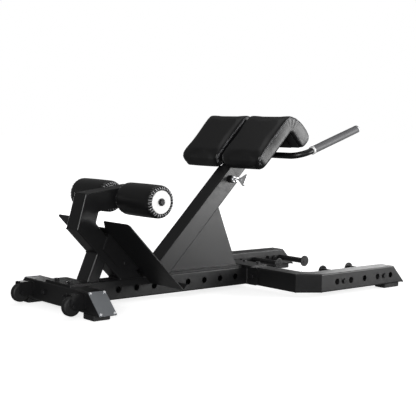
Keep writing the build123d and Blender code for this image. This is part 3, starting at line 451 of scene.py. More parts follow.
# ---------------------------------------------------------------- post coordinates
@dataclass(frozen=True)
class PostLine:
    """The post's axis: distances along it and across it towards the front, in metres."""

    foot_x: float
    foot_z: float

    def point(self, along: float, across: float, y: float = 0.0) -> Vector:
        """Returns the row position of a point given along, across and y."""
        return Vector((self.foot_x + (along + across) * DIAGONAL, y,
                       self.foot_z + (along - across) * DIAGONAL))

    def split(self, point: Vector) -> tuple[float, float]:
        """Returns a row position as its distances along and across."""
        dx, dz = point.x - self.foot_x, point.z - self.foot_z
        return (dx + dz) * DIAGONAL, (dx - dz) * DIAGONAL


def post_line() -> PostLine:
    """Returns the post's axis, read from the upright tube's box."""
    low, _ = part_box("upright_tube")
    return PostLine(low[0] + TUBE * DIAGONAL, low[2])


# ---------------------------------------------------------------- welds
@dataclass
class WeldBeads:
    """Rippled fillet welds where tubes and plates meet, painted with the frame."""

    post: PostLine
    bead: float = 2.6 * MM
    gusset_bead: float = 2.2 * MM
    head_bead: float = 2.0 * MM
    plate_bead: float = 1.8 * MM
    ankle_bead: float = 1.5 * MM
    base_bead: float = 1.3 * MM
    ripple: float = 0.28
    ripple_turn: float = 0.9
    step: float = 1.5 * MM
    lift: float = 0.8 * MM
    proud: float = 0.6 * MM
    gusset_plate: float = 6 * MM
    gusset_half_web: float = 4 * MM
    gusset_rim: float = 34 * MM

    def run(self, soup: MeshSoup, corners: Sequence[Vector], closed: bool = True,
            size: float | None = None) -> None:
        """Adds one bead along straight runs between corners.

        Args:
            soup: the mesh that takes it.
            corners: corners of its path.
            closed: whether it goes all the way round.
            size: its radius, or the usual one.
        """
        radius = size or self.bead
        points = resample([Vector(c) for c in corners], self.step, closed)
        soup.sweep(points,
                   lambda i: radius * (1 + self.ripple * abs(math.sin(i * self.ripple_turn))),
                   7, closed)

    def ring(self, soup: MeshSoup, centre: Vector, axis: Vector, side: Vector, normal: Vector,
             size: float = TUBE, width: float = TUBE, bead: float | None = None) -> None:
        """Adds a bead round a tube where a plane cuts it.

        Args:
            soup: the mesh that takes it.
            centre: a point of the tube's centre line on the plane.
            axis: the tube's direction.
            side: a direction across the tube.
            normal: the plane's normal.
            size: the tube's depth across side.
            width: the tube's width along side.
            bead: the bead's radius, or the usual one.
        """
        axis, side = axis.normalized(), side.normalized()
        other = axis.cross(side)
        round_cut = 1.6 * MM
        corners = []
        for a, b in ((1, 1), (-1, 1), (-1, -1), (1, -1)):
            for da, db in ((0, 1), (1, 0)) if a * b < 0 else ((1, 0), (0, 1)):
                offset = side * a * (width / 2 - da * round_cut)
                offset += other * b * (size / 2 - db * round_cut)
                slide = -offset.dot(normal) / axis.dot(normal)
                corners.append(centre + offset + axis * slide)
        self.run(soup, corners, True, bead)

    def build(self, palette: Palette) -> None:
        """Makes the fixed frame's beads and those of the sliding head.

        Args:
            palette: the finishes.
        """
        soup = MeshSoup()
        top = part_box("upright_tube")[0][2]
        lift = Vector((0, 0, self.lift))
        edge = HALF_TUBE - 1.5 * MM
        for x0, x1 in self.feet_on_rail():
            rectangle = [(x0, -edge, top), (x1, -edge, top), (x1, edge, top), (x0, edge, top)]
            self.run(soup, [Vector(p) + lift for p in rectangle])
        self.gusset_beads(soup)
        self.ankle_rings(soup)
        self.base_rings(soup)
        rail_low, rail_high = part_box("main_rail")
        for x in (rail_low[0] + self.proud, rail_high[0] - self.proud):
            for side in SIDES.values():
                y = side * HALF_TUBE
                path = [Vector((x, y, rail_high[2])), Vector((x, y, rail_low[2] + 2 * MM))]
                self.run(soup, path, False)
        piece = soup.piece("frame_welds")
        palette.dress(piece, "frame", "frame_black")

        head = MeshSoup()
        for side in SIDES.values():
            y = side * HALF_INNER_POST
            path = [self.post.point(BRACKET_START, -HALF_INNER_POST, y),
                    self.post.point(POST_END, -HALF_INNER_POST, y),
                    self.post.point(POST_END, HALF_INNER_POST, y)]
            self.run(head, path, False, self.head_bead)
        piece = head.piece("head_welds")
        palette.dress(piece, "pad_carriage", "frame_black")
        LOG.info("welds done")

    def feet_on_rail(self) -> list[tuple[float, float]]:
        """Returns the x spans of the tube feet that stand on the rail."""
        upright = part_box("upright_tube")[0][0]
        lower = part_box("ankle_arm_lower")[1][0]
        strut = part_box("ankle_strut")[0][0]
        long_cut = TUBE / DIAGONAL
        strut_cut = ANKLE.strut_depth / math.sin(ANKLE.strut_lean)
        return [(upright, upright + long_cut), (lower - long_cut, lower), (strut, strut + strut_cut)]

    def gusset_beads(self, soup: MeshSoup) -> None:
        """Adds the beads along the gusset's two edges and round its base plate.

        Args:
            soup: the mesh that takes them.
        """
        low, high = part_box("upright_gusset")
        plate_top = low[2] + self.gusset_plate
        rise = high[2] - plate_top
        start = low[0] + 5 * MM
        for side in SIDES.values():
            y = side * (self.gusset_half_web + self.proud)
            along_plate = [(start, plate_top), (high[0] - 9 * MM, plate_top)]
            along_tube = [(start + 2 * MM, plate_top),
                          (start + rise - 2 * MM, plate_top + rise - 4 * MM)]
            for path in (along_plate, along_tube):
                self.run(soup, [Vector((x, y, z)) for x, z in path], False, self.gusset_bead)
        rim, inset = self.gusset_rim, 2 * MM
        corners = [(low[0] + inset, -rim), (high[0] - inset, -rim), (high[0] - inset, rim),
                   (low[0] + inset, rim)]
        path = [Vector((x, y, low[2] + self.lift)) for x, y in corners]
        self.run(soup, path, True, self.plate_bead)

    def ankle_rings(self, soup: MeshSoup) -> None:
        """Adds the beads round the ankle arm's two mitres and the strut's head.

        Args:
            soup: the mesh that takes them.
        """
        side = Vector((0, 1, 0))
        rear = Vector((ANKLE.corner[0], 0, ANKLE.corner[1]))
        top = Vector((ANKLE.top[0], 0, ANKLE.top[1]))
        low_dir = Vector((-DIAGONAL, 0, DIAGONAL))
        mid_dir = (top - rear).normalized()
        up_dir = Vector((math.cos(ANKLE.rise), 0, math.sin(ANKLE.rise)))
        for point, first, second in ((rear, low_dir, mid_dir), (top, mid_dir, up_dir)):
            normal = (first + second).normalized()
            inset = Vector((first.z, 0, -first.x)) * HALF_TUBE
            slide = -inset.dot(normal) / first.dot(normal)
            self.ring(soup, point + inset + first * slide, first, side, normal,
                      bead=self.ankle_bead)
        lean = Vector((math.cos(ANKLE.strut_lean), 0, math.sin(ANKLE.strut_lean)))
        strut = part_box("ankle_strut")[0]
        across = Vector((lean.z, 0, -lean.x)) * ANKLE.strut_depth / 2
        start = Vector((strut[0], 0, strut[2])) + across
        normal = Vector((DIAGONAL, 0, DIAGONAL))
        reach = (rear - start).dot(normal) / lean.dot(normal)
        self.ring(soup, start + lean * reach, lean, side, normal, ANKLE.strut_depth, TUBE,
                  self.gusset_bead)

    def base_rings(self, soup: MeshSoup) -> None:
        """Adds the ground beads round the U base's four mitres.

        Args:
            soup: the mesh that takes them.
        """
        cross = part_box("base_cross_tube")
        middle = (cross[0][2] + cross[1][2]) / 2
        for side in SIDES.values():
            first = Vector((cross[0][0], side * CORNER_START_Y, middle))
            second = Vector((cross[0][0] + CORNER_LENGTH, side * BASE_HALF_WIDTH, middle))
            runs = (Vector((0, side, 0)), (second - first).normalized(), Vector((1, 0, 0)))
            for point, a, b in ((first, runs[0], runs[1]), (second, runs[1], runs[2])):
                normal = (a + b).normalized()
                inward = Vector((0, 0, 1)).cross(a) * -side * HALF_TUBE
                slide = -inward.dot(normal) / a.dot(normal)
                self.ring(soup, point + inward + a * slide, a, Vector((0, 0, 1)), normal,
                          bead=self.base_bead)


@dataclass(frozen=True)
class AnkleArm:
    """Rear corners of the ankle arm, in metres, the slope of its upper tube, and its strut."""

    corner: tuple[float, float] = (-663.0 * MM, 290.5 * MM)
    top: tuple[float, float] = (-626.0 * MM, 423.5 * MM)
    rise: float = math.radians(7.0)
    strut_depth: float = 50 * MM
    strut_lean: float = math.radians(67)


ANKLE = AnkleArm()


# ---------------------------------------------------------------- hip pads
@dataclass
class HipPad:
    """One angled hip pad: a foam-filled vinyl shell with seams along the rims of its sides.

    The outline is in millimetres along and across the post. The other sizes are in metres.
    """

    side_name: str
    side: float
    post: PostLine
    outline: tuple[tuple[float, float], ...] = (
        (542, -40), (542, -64), (549, -84), (565, -94), (592, -97), (700, -99), (776, -101),
        (792, -98), (807, -84), (820, -58), (829, -22), (830, 20), (825, 44), (812, 57), (796, 60),
        (776, 58), (759, 52), (759, 20), (759, -10), (759, -40))
    skin: float = 0.8 * MM
    rim: float = 6.0 * MM
    voxel: float = 5.0 * MM
    cap: float = 4.5 * MM
    tautness: int = 60
    corner: float = 26.0 * MM
    pressure: float = 4.0
    stiffness: float = 18.0
    frames: int = 20
    inner_corner: tuple[float, float] = (757 * MM, -40 * MM)
    folds: float = 15.0
    fold_depth: float = 0.63 * MM
    fold_from: float = 0.80
    fold_turn: float = math.radians(38)
    fold_fan: float = math.radians(34)
    fold_start: float = 16 * MM
    fold_end: float = 78 * MM
    welt_inset: float = 5.5 * MM
    stitch_insets: tuple[float, float] = (8.5 * MM, 12.0 * MM)

    def build(self, palette: Palette) -> bpy.types.Object:
        """Makes the pad, its piping and its stitches.

        Args:
            palette: the finishes.

        Returns:
            The padded shell.
        """
        shell = self.blank()
        self.inflate(shell)
        self.soften(shell)
        self.crease(shell)
        node = f"hip_pad_{self.side_name}"
        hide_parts(node)
        palette.dress(shell, "pad_carriage", "pad_cover")
        self.trim(shell, palette)
        LOG.info("%s: %d points", node, len(shell.data.vertices))
        return shell

    def y_span(self) -> tuple[float, float]:
        """Returns the pad's lowest and highest y."""
        low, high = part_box(f"hip_pad_{self.side_name}")
        return low[1], high[1]

    def middle_and_half(self) -> tuple[float, float]:
        """Returns the pad's middle y and half its width."""
        low, high = self.y_span()
        return (low + high) / 2, (high - low) / 2

    def blank(self) -> bpy.types.Object:
        """Returns the pad's slightly small blank, cut from its outline."""
        low, high = self.y_span()
        low, high = low + self.skin, high - self.skin
        ring = [self.post.point(s * MM, n * MM) for s, n in self.outline]
        count = len(ring)
        rows = [low, high]
        verts = [Vector((p.x, y, p.z)) for y in rows for p in ring]
        faces = [tuple(range(count)), tuple(range(count, 2 * count))]
        faces += [(k, (k + 1) % count, count + (k + 1) % count, count + k) for k in range(count)]
        shell = add_piece(f"pad_shell_{self.side_name}", verts, faces)
        bevel = shell.modifiers.new("rim", "BEVEL")
        bevel.width = self.rim
        bevel.segments = 3
        bevel.limit_method = "ANGLE"
        bevel.angle_limit = math.radians(50)
        remesh = shell.modifiers.new("even", "REMESH")
        remesh.mode = "VOXEL"
        remesh.voxel_size = self.voxel
        remesh.use_smooth_shade = True
        apply_modifiers(shell)
        self.round_low_end(shell)
        return shell

    def round_low_end(self, shell: bpy.types.Object) -> None:
        """Rounds the two corners of the low end as seen from the padded face.

        Args:
            shell: the blank.
        """
        middle, half = self.middle_and_half()
        lowest = min(s for s, _ in self.outline) * MM
        for vertex in shell.data.vertices:
            short = self.corner - (self.post.split(vertex.co)[0] - lowest)
            if short > 0:
                short = min(short, self.corner)
                inset = self.corner - math.sqrt(self.corner ** 2 - short ** 2)
                vertex.co.y = middle + (vertex.co.y - middle) * (half - inset) / half

    def backed(self, point: Vector) -> bool:
        """Returns whether a point lies on the board's side of the pad."""
        along, across = self.post.split(point)
        return across > -44 * MM and along < 766 * MM

    def inflate(self, shell: bpy.types.Object) -> None:
        """Swells the shell with cloth pressure, its backed face held still.

        Args:
            shell: the blank.
        """
        start = [v.co.copy() for v in shell.data.vertices]
        group = shell.vertex_groups.new(name="held")
        held = [v.index for v in shell.data.vertices if self.backed(v.co)]
        group.add(held, 1.0, "REPLACE")
        cloth = shell.modifiers.new("swell", "CLOTH")
        settings = cloth.settings
        settings.use_pressure = True
        settings.uniform_pressure_force = self.pressure
        settings.effector_weights.gravity = 0.0
        settings.vertex_group_mass = "held"
        settings.tension_stiffness = self.stiffness
        settings.compression_stiffness = self.stiffness
        settings.bending_stiffness = 0.8
        cloth.point_cache.frame_start = 1
        cloth.point_cache.frame_end = self.frames
        scene = bpy.context.scene
        for number in range(1, self.frames + 1):
            scene.frame_set(number)
        graph = bpy.context.evaluated_depsgraph_get()
        moved = [v.co.copy() for v in shell.evaluated_get(graph).data.vertices]
        shell.modifiers.remove(cloth)
        scene.frame_set(1)
        shifts = self.pull_taut(shell.data, [new - old for old, new in zip(start, moved)])
        for vertex, old, shift in zip(shell.data.vertices, start, shifts):
            vertex.co = old + shift
        shell.vertex_groups.clear()

    def pull_taut(self, mesh: bpy.types.Mesh, shifts: Sequence[Vector]) -> list[Vector]:
        """Evens out the cloth's movement, as a cover pulled taut over dense foam.

        Args:
            mesh: the shell's mesh.
            shifts: how far the cloth moved each point.

        Returns:
            The evened movement, no longer than the cap.
        """
        ends = np.empty(2 * len(mesh.edges), dtype=np.int64)
        mesh.edges.foreach_get("vertices", ends)
        first, second = ends[0::2], ends[1::2]
        moved = np.array([tuple(v) for v in shifts])
        links = np.bincount(ends, minlength=len(moved))[:, None]
        for _ in range(self.tautness):
            total = np.zeros_like(moved)
            for axis in range(3):
                total[:, axis] += np.bincount(first, moved[second, axis], len(moved))
                total[:, axis] += np.bincount(second, moved[first, axis], len(moved))
            moved = 0.4 * moved + 0.6 * total / links
        length = np.linalg.norm(moved, axis=1, keepdims=True)
        moved *= np.minimum(1.0, self.cap / np.maximum(length, 1e-9))
        return [Vector(row) for row in moved]

    def soften(self, shell: bpy.types.Object) -> None:
        """Smooths and subdivides the shell.

        Args:
            shell: the pad.
        """
        smooth = shell.modifiers.new("even_out", "SMOOTH")
        smooth.factor = 0.5
        smooth.iterations = 3
        divide = shell.modifiers.new("divide", "SUBSURF")
        divide.levels = divide.render_levels = 1
        apply_modifiers(shell)
        shell.data.polygons.foreach_set("use_smooth", [True] * len(shell.data.polygons))

    def crease(self, shell: bpy.types.Object) -> None:
        """Presses the gathered folds of the side panels, fanned round the inner corner.

        Args:
            shell: the pad.
        """
        middle, half = self.middle_and_half()
        for vertex in shell.data.vertices:
            out = (vertex.co.y - middle) / half
            if abs(out) < self.fold_from:
                continue
            along, across = self.post.split(vertex.co)
            da, dn = along - self.inner_corner[0], across - self.inner_corner[1]
            reach = math.hypot(da, dn)
            turn = math.atan2(-dn, da)
            fan = math.exp(-((turn - self.fold_turn) / self.fold_fan) ** 2)
            spread = max(0.0, min(1.0, reach / self.fold_start))
            spread *= max(0.0, 1 - (reach / self.fold_end) ** 4)
            towards_rim = (abs(out) - self.fold_from) / (1 - self.fold_from)
            depth = self.fold_depth * fan * spread * towards_rim
            vertex.co.y -= math.copysign(depth, out) * (1 + math.cos(turn * self.folds))

    def rim_path(self, inset: float) -> list[tuple[float, float]]:
        """Outline of the padded side moved inwards.

        Args:
            inset: how far, in metres.

        Returns:
            (along, across) pairs in metres, from the low end to the front end.
        """
        soft = [Vector((s * MM, n * MM, 0)) for s, n in self.outline[1:17]]
        points = resample(soft, 3 * MM)
        found = []
        for i, point in enumerate(points):
            ahead, behind = points[min(i + 1, len(points) - 1)], points[max(i - 1, 0)]
            run = (ahead - behind).normalized()
            inward = Vector((-run.y, run.x, 0))
            found.append(point + inward * inset)
        for _ in range(6):
            found = [found[0]] + [
                (a + b + c) / 3 for a, b, c in zip(found, found[1:], found[2:])] + [found[-1]]
        return [(p.x, p.y) for p in found]

    def trim(self, shell: bpy.types.Object, palette: Palette) -> None:
        """Lays piping and double stitching on the side panels of the finished shell.

        Args:
            shell: the pad.
            palette: the finishes.
        """
        tree = BVHTree.FromObject(shell, bpy.context.evaluated_depsgraph_get())
        low, high = self.y_span()
        welt, stitching_and_glint = MeshSoup(), MeshSoup()
        for y, facing in ((low, -1.0), (high, 1.0)):
            ridge = self.on_panel(tree, self.rim_path(self.welt_inset), y, facing)
            welt.sweep([p for p, _ in ridge], lambda _: 1.3 * MM, 6)
            for inset in self.stitch_insets:
                row = self.on_panel(tree, self.rim_path(inset), y, facing)
                self.stitch(stitching_and_glint, row)
        piece = welt.piece(f"pad_welt_{self.side_name}")
        palette.dress(piece, "pad_carriage", "pad_cover")
        # Pale pad stitches: real double stitching whose light grey is partly painted highlight along
        # the seam edges.
        piece = stitching_and_glint.piece(f"pad_stitches_{self.side_name}")
        palette.dress(piece, "pad_carriage", "pad_cover", palette.stitching_and_glint)

    def on_panel(self, tree: BVHTree, path: Iterable[tuple[float, float]], y: float,
                 facing: float) -> list[tuple[Vector, Vector]]:
        """Drops a path on a side panel.

        Args:
            tree: the shell's surface.
            path: (along, across) pairs.
            y: the panel's y.
            facing: which way the panel faces.

        Returns:
            Points on the surface with their normals.
        """
        found = []
        for along, across in path:
            start = self.post.point(along, across, y + facing * 0.05)
            hit, normal, _, _ = tree.ray_cast(start, Vector((0, -facing, 0)), 0.09)
            if hit is not None:
                found.append((hit, normal))
        return found

    def stitch(self, stitching_and_glint: MeshSoup, row: list[tuple[Vector, Vector]]) -> None:
        """Adds stitches 4 mm long with 2 mm gaps along a row.

        Args:
            stitching_and_glint: the mesh that takes them.
            row: surface points and normals.
        """
        points = [p + n * 0.25 * MM for p, n in row]
        fine = resample(points, 1.0 * MM)
        for i in range(0, len(fine) - 5, 6):
            stitching_and_glint.sweep(fine[i:i + 5], lambda k: (0.25, 0.55, 0.6, 0.55, 0.25)[k] * MM, 5)


def apply_modifiers(piece: bpy.types.Object) -> None:
    """Bakes a piece's modifiers into its mesh.

    Args:
        piece: the piece.
    """
    graph = bpy.context.evaluated_depsgraph_get()
    mesh = bpy.data.meshes.new_from_object(piece.evaluated_get(graph))
    old = piece.data
    piece.modifiers.clear()
    piece.data = mesh
    bpy.data.meshes.remove(old)


# ---------------------------------------------------------------- ankle rollers
@dataclass
class RollerCover:
    """Vinyl cover of one foam roller, gathered into pleats round the disc at each end."""

    side_name: str
    side: float
    pleats: int = 30
    sides: int = 360
    pleat_along: float = 4.4 * MM
    pleat_out: float = 2.6 * MM
    plain_from: float = 27 * MM
    plain_radius: float = 60.7 * MM
    plain_rings: int = 12
    seam_turn: float = math.radians(150)
    seam_margin: float = 20 * MM
    seam_step: float = 4 * MM

    def build(self, palette: Palette) -> bpy.types.Object:
        """Makes the cover.

        Args:
            palette: the finishes.

        Returns:
            The cover.
        """
        node = f"roller_foam_{self.side_name}"
        low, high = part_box(node)
        length = high[1] - low[1]
        centre = Vector(((low[0] + high[0]) / 2, 0, (low[2] + high[2]) / 2))
        inner = low[1] if self.side > 0 else high[1]
        origin = Vector((centre.x, inner, centre.z))
        profile, weights = self.profile(length)
        rng = random.Random(11 if self.side > 0 else 12)
        depth = [rng.uniform(0.75, 1.25) for _ in range(self.pleats)]
        shift = [rng.uniform(-0.25, 0.25) for _ in range(self.pleats)]

        def warp(i: int, angle: float) -> tuple[float, float]:
            """Offsets a profile point along the axis and outwards for its pleat."""
            end, weight, radial = weights[i]
            if weight == 0:
                return 0.0, 0.0
            turn = angle / math.tau * self.pleats
            number = int(turn) % self.pleats
            phase = turn - int(turn) + shift[number] * math.sin(math.pi * (turn - int(turn)))
            fold = abs(math.sin(math.pi * phase)) ** 0.6
            size = depth[number] * weight * (fold - 0.75)
            return end * size * self.pleat_along, radial * size * self.pleat_out

        soup = MeshSoup()
        soup.lathe(profile, origin, Vector((0, self.side, 0)), self.sides, warp)
        piece = soup.piece(f"roller_cover_{self.side_name}")
        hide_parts(node)
        body = f"roller_{self.side_name}"
        palette.dress(piece, body, "roller_cover")
        self.seam(palette, origin, length, body)
        LOG.info("%s covered", node)
        return piece

    def profile(self, length: float) -> tuple[list[tuple[float, float]],
                                              list[tuple[float, float, float]]]:
        """Section of the cover.

        Args:
            length: the roller's length.

        Returns:
            (along, radius) pairs, and for each the end it belongs to, how deep the pleats are
            there and how much of that goes outwards.
        """
        edge = [(5.0, 15.6, 0, 0), (5.0, 38.0, 0, 0), (4.6, 41.6, 0.2, 0), (1.6, 42.8, 0.7, 0),
                (0.5, 45.0, 1.0, 0), (0.2, 47.5, 1.0, 0), (0.5, 50.0, 0.95, 0.1),
                (1.4, 52.6, 0.85, 0.3), (3.2, 55.2, 0.65, 0.6), (5.8, 57.4, 0.45, 0.8),
                (9.0, 59.0, 0.28, 0.9), (13.0, 60.0, 0.14, 1.0), (19.0, 60.5, 0.05, 1.0),
                (27.0, 60.7, 0.0, 0)]
        points: list[tuple[float, float]] = []
        weights: list[tuple[float, float, float]] = []
        for along, radius, weight, radial in edge:
            points.append((along * MM, radius * MM))
            weights.append((-1.0, weight, radial))
        for k in range(1, self.plain_rings):
            share = k / self.plain_rings
            along = self.plain_from + share * (length - 2 * self.plain_from)
            points.append((along, self.plain_radius + 0.5 * MM * math.sin(math.pi * share)))
            weights.append((0.0, 0.0, 0.0))
        for along, radius, weight, radial in reversed(edge):
            points.append((length - along * MM, radius * MM))
            weights.append((1.0, weight, radial))
        return points, weights

    def seam(self, palette: Palette, origin: Vector, length: float, body: str) -> None:
        """Adds the cover's closing seam along the back of the roller.

        Args:
            palette: the finishes.
            origin: middle of the roller's inner end.
            length: its length.
            body: the body it rides on.
        """
        soup, stitching_and_glint = MeshSoup(), MeshSoup()
        axis = Vector((0, self.side, 0))
        ray = Vector((math.sin(self.seam_turn), 0, math.cos(self.seam_turn)))
        side_step = Vector((math.cos(self.seam_turn), 0, -math.sin(self.seam_turn))) * 3 * MM
        count = int((length - 2 * self.seam_margin) / self.seam_step)
        lines = [origin + axis * (self.seam_margin + k * self.seam_step) for k in range(count)]
        soup.sweep([p + ray * 60.6 * MM for p in lines], lambda _: 1.2 * MM, 6)
        for point in lines[:-1]:
            start = point + side_step + ray * 61.0 * MM
            ends = [start + axis * t * MM for t in (0, 1, 2, 2.8)]
            stitching_and_glint.sweep(ends, lambda i: (0.3, 0.5, 0.5, 0.3)[i] * MM, 5)
        # Pale gathering dashes round both discs: painted highlight for the glints on the glossy
        # pleats.
        for along, facing in ((0.0, -1.0), (length, 1.0)):
            self.gathering_glint_dashes(stitching_and_glint, origin + axis * along, axis * facing)
        piece = soup.piece(f"roller_seam_{self.side_name}")
        palette.dress(piece, body, "roller_cover")
        # Pale seam stitches and gathering dashes: partly painted highlight, the dashes standing in
        # for the pleat glints.
        piece = stitching_and_glint.piece(f"roller_stitches_{self.side_name}")
        palette.dress(piece, body, "roller_cover", palette.stitching_and_glint)

    def gathering_glint_dashes(self, stitching_and_glint: MeshSoup, centre: Vector, out: Vector) -> None:
        """Adds pale gathering dashes round one disc: stitched gathers drawn light as painted
        highlight, standing in for the glints on the glossy pleats.

        Args:
            stitching_and_glint: the mesh that takes it.
            centre: middle of the roller's end.
            out: away from the roller.
        """
        rng = random.Random(21 if out.y > 0 else 22)
        for k in range(self.pleats):
            angle = math.tau * (k + rng.uniform(-0.12, 0.12)) / self.pleats
            ray = Vector((math.cos(angle), 0, math.sin(angle)))
            lean = Vector((-ray.z, 0, ray.x)) * rng.uniform(-0.1, 0.35)
            first, last = 44.5 + rng.uniform(-0.5, 1.0), 55.5 + rng.uniform(-2.0, 1.0)
            points = []
            for share in (0.0, 0.2, 0.5, 0.8, 1.0):
                radius = first + (last - first) * share
                sink = max(0.0, radius - 48.0) ** 2 * 0.075
                points.append(centre + (ray + lean * share * 0.25) * radius * MM
                              + out * (0.9 - sink) * MM)
            stitching_and_glint.sweep(points, lambda i: (0.45, 1.0, 1.15, 0.95, 0.4)[i] * MM, 6)


# ---------------------------------------------------------------- hand grips
@dataclass
class HandGrip:
    """Smooth moulded rubber grip pushed on the end of the handlebar."""

    side_name: str
    side: float
    rise: float = math.radians(18.5)
    radius: float = 16 * MM
    bore: float = 12.75 * MM
    length: float = 275 * MM
    ring: float = 10.0 * MM

    def build(self, palette: Palette) -> None:
        """Makes the grip.

        Args:
            palette: the finishes.
        """
        node = f"hand_grip_{self.side_name}"
        low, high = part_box(node)
        run = Vector((math.cos(self.rise), 0, math.sin(self.rise)))
        reach = self.radius * math.sin(self.rise)
        start = Vector((low[0] + reach, (low[1] + high[1]) / 2,
                        low[2] + self.radius * math.cos(self.rise)))
        profile = [(0.0, self.bore), (0.0, 15.2 * MM), (1.0 * MM, 15.9 * MM), (5.0 * MM, 16.0 * MM),
                   (7.5 * MM, 15.9 * MM)]
        count = int((self.length - 20 * MM) / self.ring)
        for k in range(count + 1):
            swell = 0.35 * MM * math.sin(math.pi * k / count)
            profile.append((10 * MM + k * self.ring, 15.95 * MM + swell))
        end = self.length
        profile += [(end - 7 * MM, 15.9 * MM), (end - 5 * MM, 16.0 * MM), (end - 1 * MM, 16.0 * MM),
                    (end, 15.4 * MM), (end, self.bore)]
        soup = MeshSoup()
        soup.lathe(profile, start, run, 56)
        piece = soup.piece(f"moulded_grip_{self.side_name}")
        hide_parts(node)
        palette.dress(piece, "pad_carriage", "grip_rubber")
        LOG.info("%s moulded", node)


# ---------------------------------------------------------------- foot plate
@dataclass
class FootPlateTread:
    """Raised tread marks pressed into the standing face of the foot plate."""

    pitch: float = 26 * MM
    length: float = 19 * MM
    width: float = 5.0 * MM
    height: float = 1.1 * MM
    margin: float = 26 * MM
    top_margin: float = 24 * MM
    side_margin: float = 18 * MM
    covered: float = 320 * MM
    notch_half: float = 62 * MM
    notch_depth: float = 50 * MM
    sheet: float = 4 * MM

    def build(self, palette: Palette) -> None:
        """Makes the tread marks.

        Args:
            palette: the finishes.
        """
        low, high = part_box("foot_plate")
        down = Vector((DIAGONAL, 0, -DIAGONAL))
        out = Vector((DIAGONAL, 0, DIAGONAL))
        top = Vector((low[0], 0, high[2] - self.sheet * DIAGONAL)) + out * self.sheet
        soup = MeshSoup()
        rows = int((self.covered - self.margin) / self.pitch)
        for i in range(rows):
            for j in range(int(2 * (high[1] - self.margin) / self.pitch) + 1):
                along = self.margin + self.top_margin + i * self.pitch
                y = -high[1] + self.margin + j * self.pitch
                in_notch = abs(y) < self.notch_half + max(0.0, self.notch_depth - along)
                if in_notch or abs(y) > high[1] - self.side_margin:
                    continue
                self.mark(soup, top + down * along + Vector((0, y, 0)), down, out, (i + j) % 2)
        piece = soup.piece("foot_plate_tread")
        palette.dress(piece, "frame", "frame_black")
        LOG.info("foot plate tread done")

    def mark(self, soup: MeshSoup, centre: Vector, down: Vector, out: Vector, turned: int) -> None:
        """Adds one lens-shaped mark.

        Args:
            soup: the mesh that takes it.
            centre: its place on the plate.
            down: down the plate.
            out: away from the plate.
            turned: 1 where it leans the other way.
        """
        across = Vector((0, 1, 0))
        long_way = (down + across * (1 if turned else -1)).normalized()
        wide_way = long_way.cross(out).normalized()
        base = len(soup.verts)
        rings = ((1.0, -0.3), (0.86, 0.55), (0.55, 0.95), (0.2, 1.0))
        sides = 16
        for share, rise in rings:
            for k in range(sides):
                angle = math.tau * k / sides
                u = math.cos(angle) * self.length / 2 * share
                v = math.sin(angle) * abs(math.sin(angle)) ** 0.4 * self.width / 2 * share
                soup.verts.append(centre + long_way * u + wide_way * v + out * rise * self.height)
        soup.skin(base, len(rings), sides, False)


# ---------------------------------------------------------------- arm sleeves
@dataclass
class ArmSleeves:
    """Thin plastic sleeves that line the side arms' open peg holes from wall to wall."""

    first_hole: float = 375.5 * MM
    pitch: float = 85 * MM
    open_holes: tuple[int, ...] = (0, 1, 3)
    bore: float = 12.6 * MM
    outer: float = 14.0 * MM
    wall: float = 3.2 * MM

    def build(self, palette: Palette) -> None:
        """Makes the sleeves of both arms.

        Args:
            palette: the finishes.
        """
        soup = MeshSoup()
        for name in SIDES:
            low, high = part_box(f"base_arm_{name}")
            start, end = low[1] + self.wall, high[1] - self.wall
            middle = (low[2] + high[2]) / 2
            profile = [(0.0, self.bore), (0.0, self.outer), (end - start, self.outer),
                       (end - start, self.bore)]
            for number in self.open_holes:
                origin = Vector((self.first_hole + number * self.pitch, start, middle))
                soup.lathe(profile, origin, Vector((0, 1, 0)), 40)
        piece = soup.piece("arm_hole_sleeves", smooth=False)
        palette.dress(piece, "frame", "cap_plastic")
        LOG.info("arm holes lined")


# ---------------------------------------------------------------- studio
@dataclass(frozen=True)
class Softbox:
    """One rectangular lamp: where it is, what it faces, its width and height, and its watts."""

    name: str
    place: tuple[float, float, float]
    target: tuple[float, float, float]
    size: tuple[float, float]
    power: float

    def build(self) -> None:
        """Adds the lamp to the scene."""
        data = bpy.data.lights.new(self.name, "AREA")
        data.shape = "RECTANGLE"
        data.size, data.size_y = self.size
        data.energy = self.power
        lamp = place_object(self.name, data)
        lamp.location = self.place
        aim = Vector(self.target) - Vector(self.place)
        lamp.rotation_euler = aim.to_track_quat("-Z", "Y").to_euler()


SOFTBOXES = (
    # A dim overhead keeps the tops of the tubes below the floor's brightness.
    Softbox("overhead_softbox", (0.3, 0.1, 3.4), (0.1, 0, 0), (3.6, 2.4), 18),
    # The key grazes the right side, so that its faces lighten from the ankle end to the base.
    Softbox("right_softbox", (3.1, -2.75, 0.92), (0.2, 0, 0.3), (2.2, 1.7), 98),
    Softbox("low_card", (2.3, -2.7, 0.13), (0.2, 0, 0.06), (1.8, 0.24), 8),
    # Two fills from the camera's side lift the pale plastic and the mitred corner.
    Softbox("corner_fill", (-0.9, -4.0, 0.8), (0.1, 0, 0.2), (1.2, 0.9), 14),
    Softbox("camera_side_fill", (-2.9, -2.4, 1.0), (-0.1, 0, 0.3), (1.4, 1.2), 78),
    # The far lamps model the front and the left side for the other viewpoints.
    Softbox("front_softbox", (3.6, 1.6, 1.5), (0, 0, 0.3), (1.6, 1.6), 25),
    Softbox("far_front_softbox", (3.8, -0.3, 1.3), (0, 0, 0.3), (1.6, 1.6), 45),
    Softbox("left_softbox", (0.3, 3.8, 0.55), (0, 0, 0.3), (2.2, 0.9), 26),
)


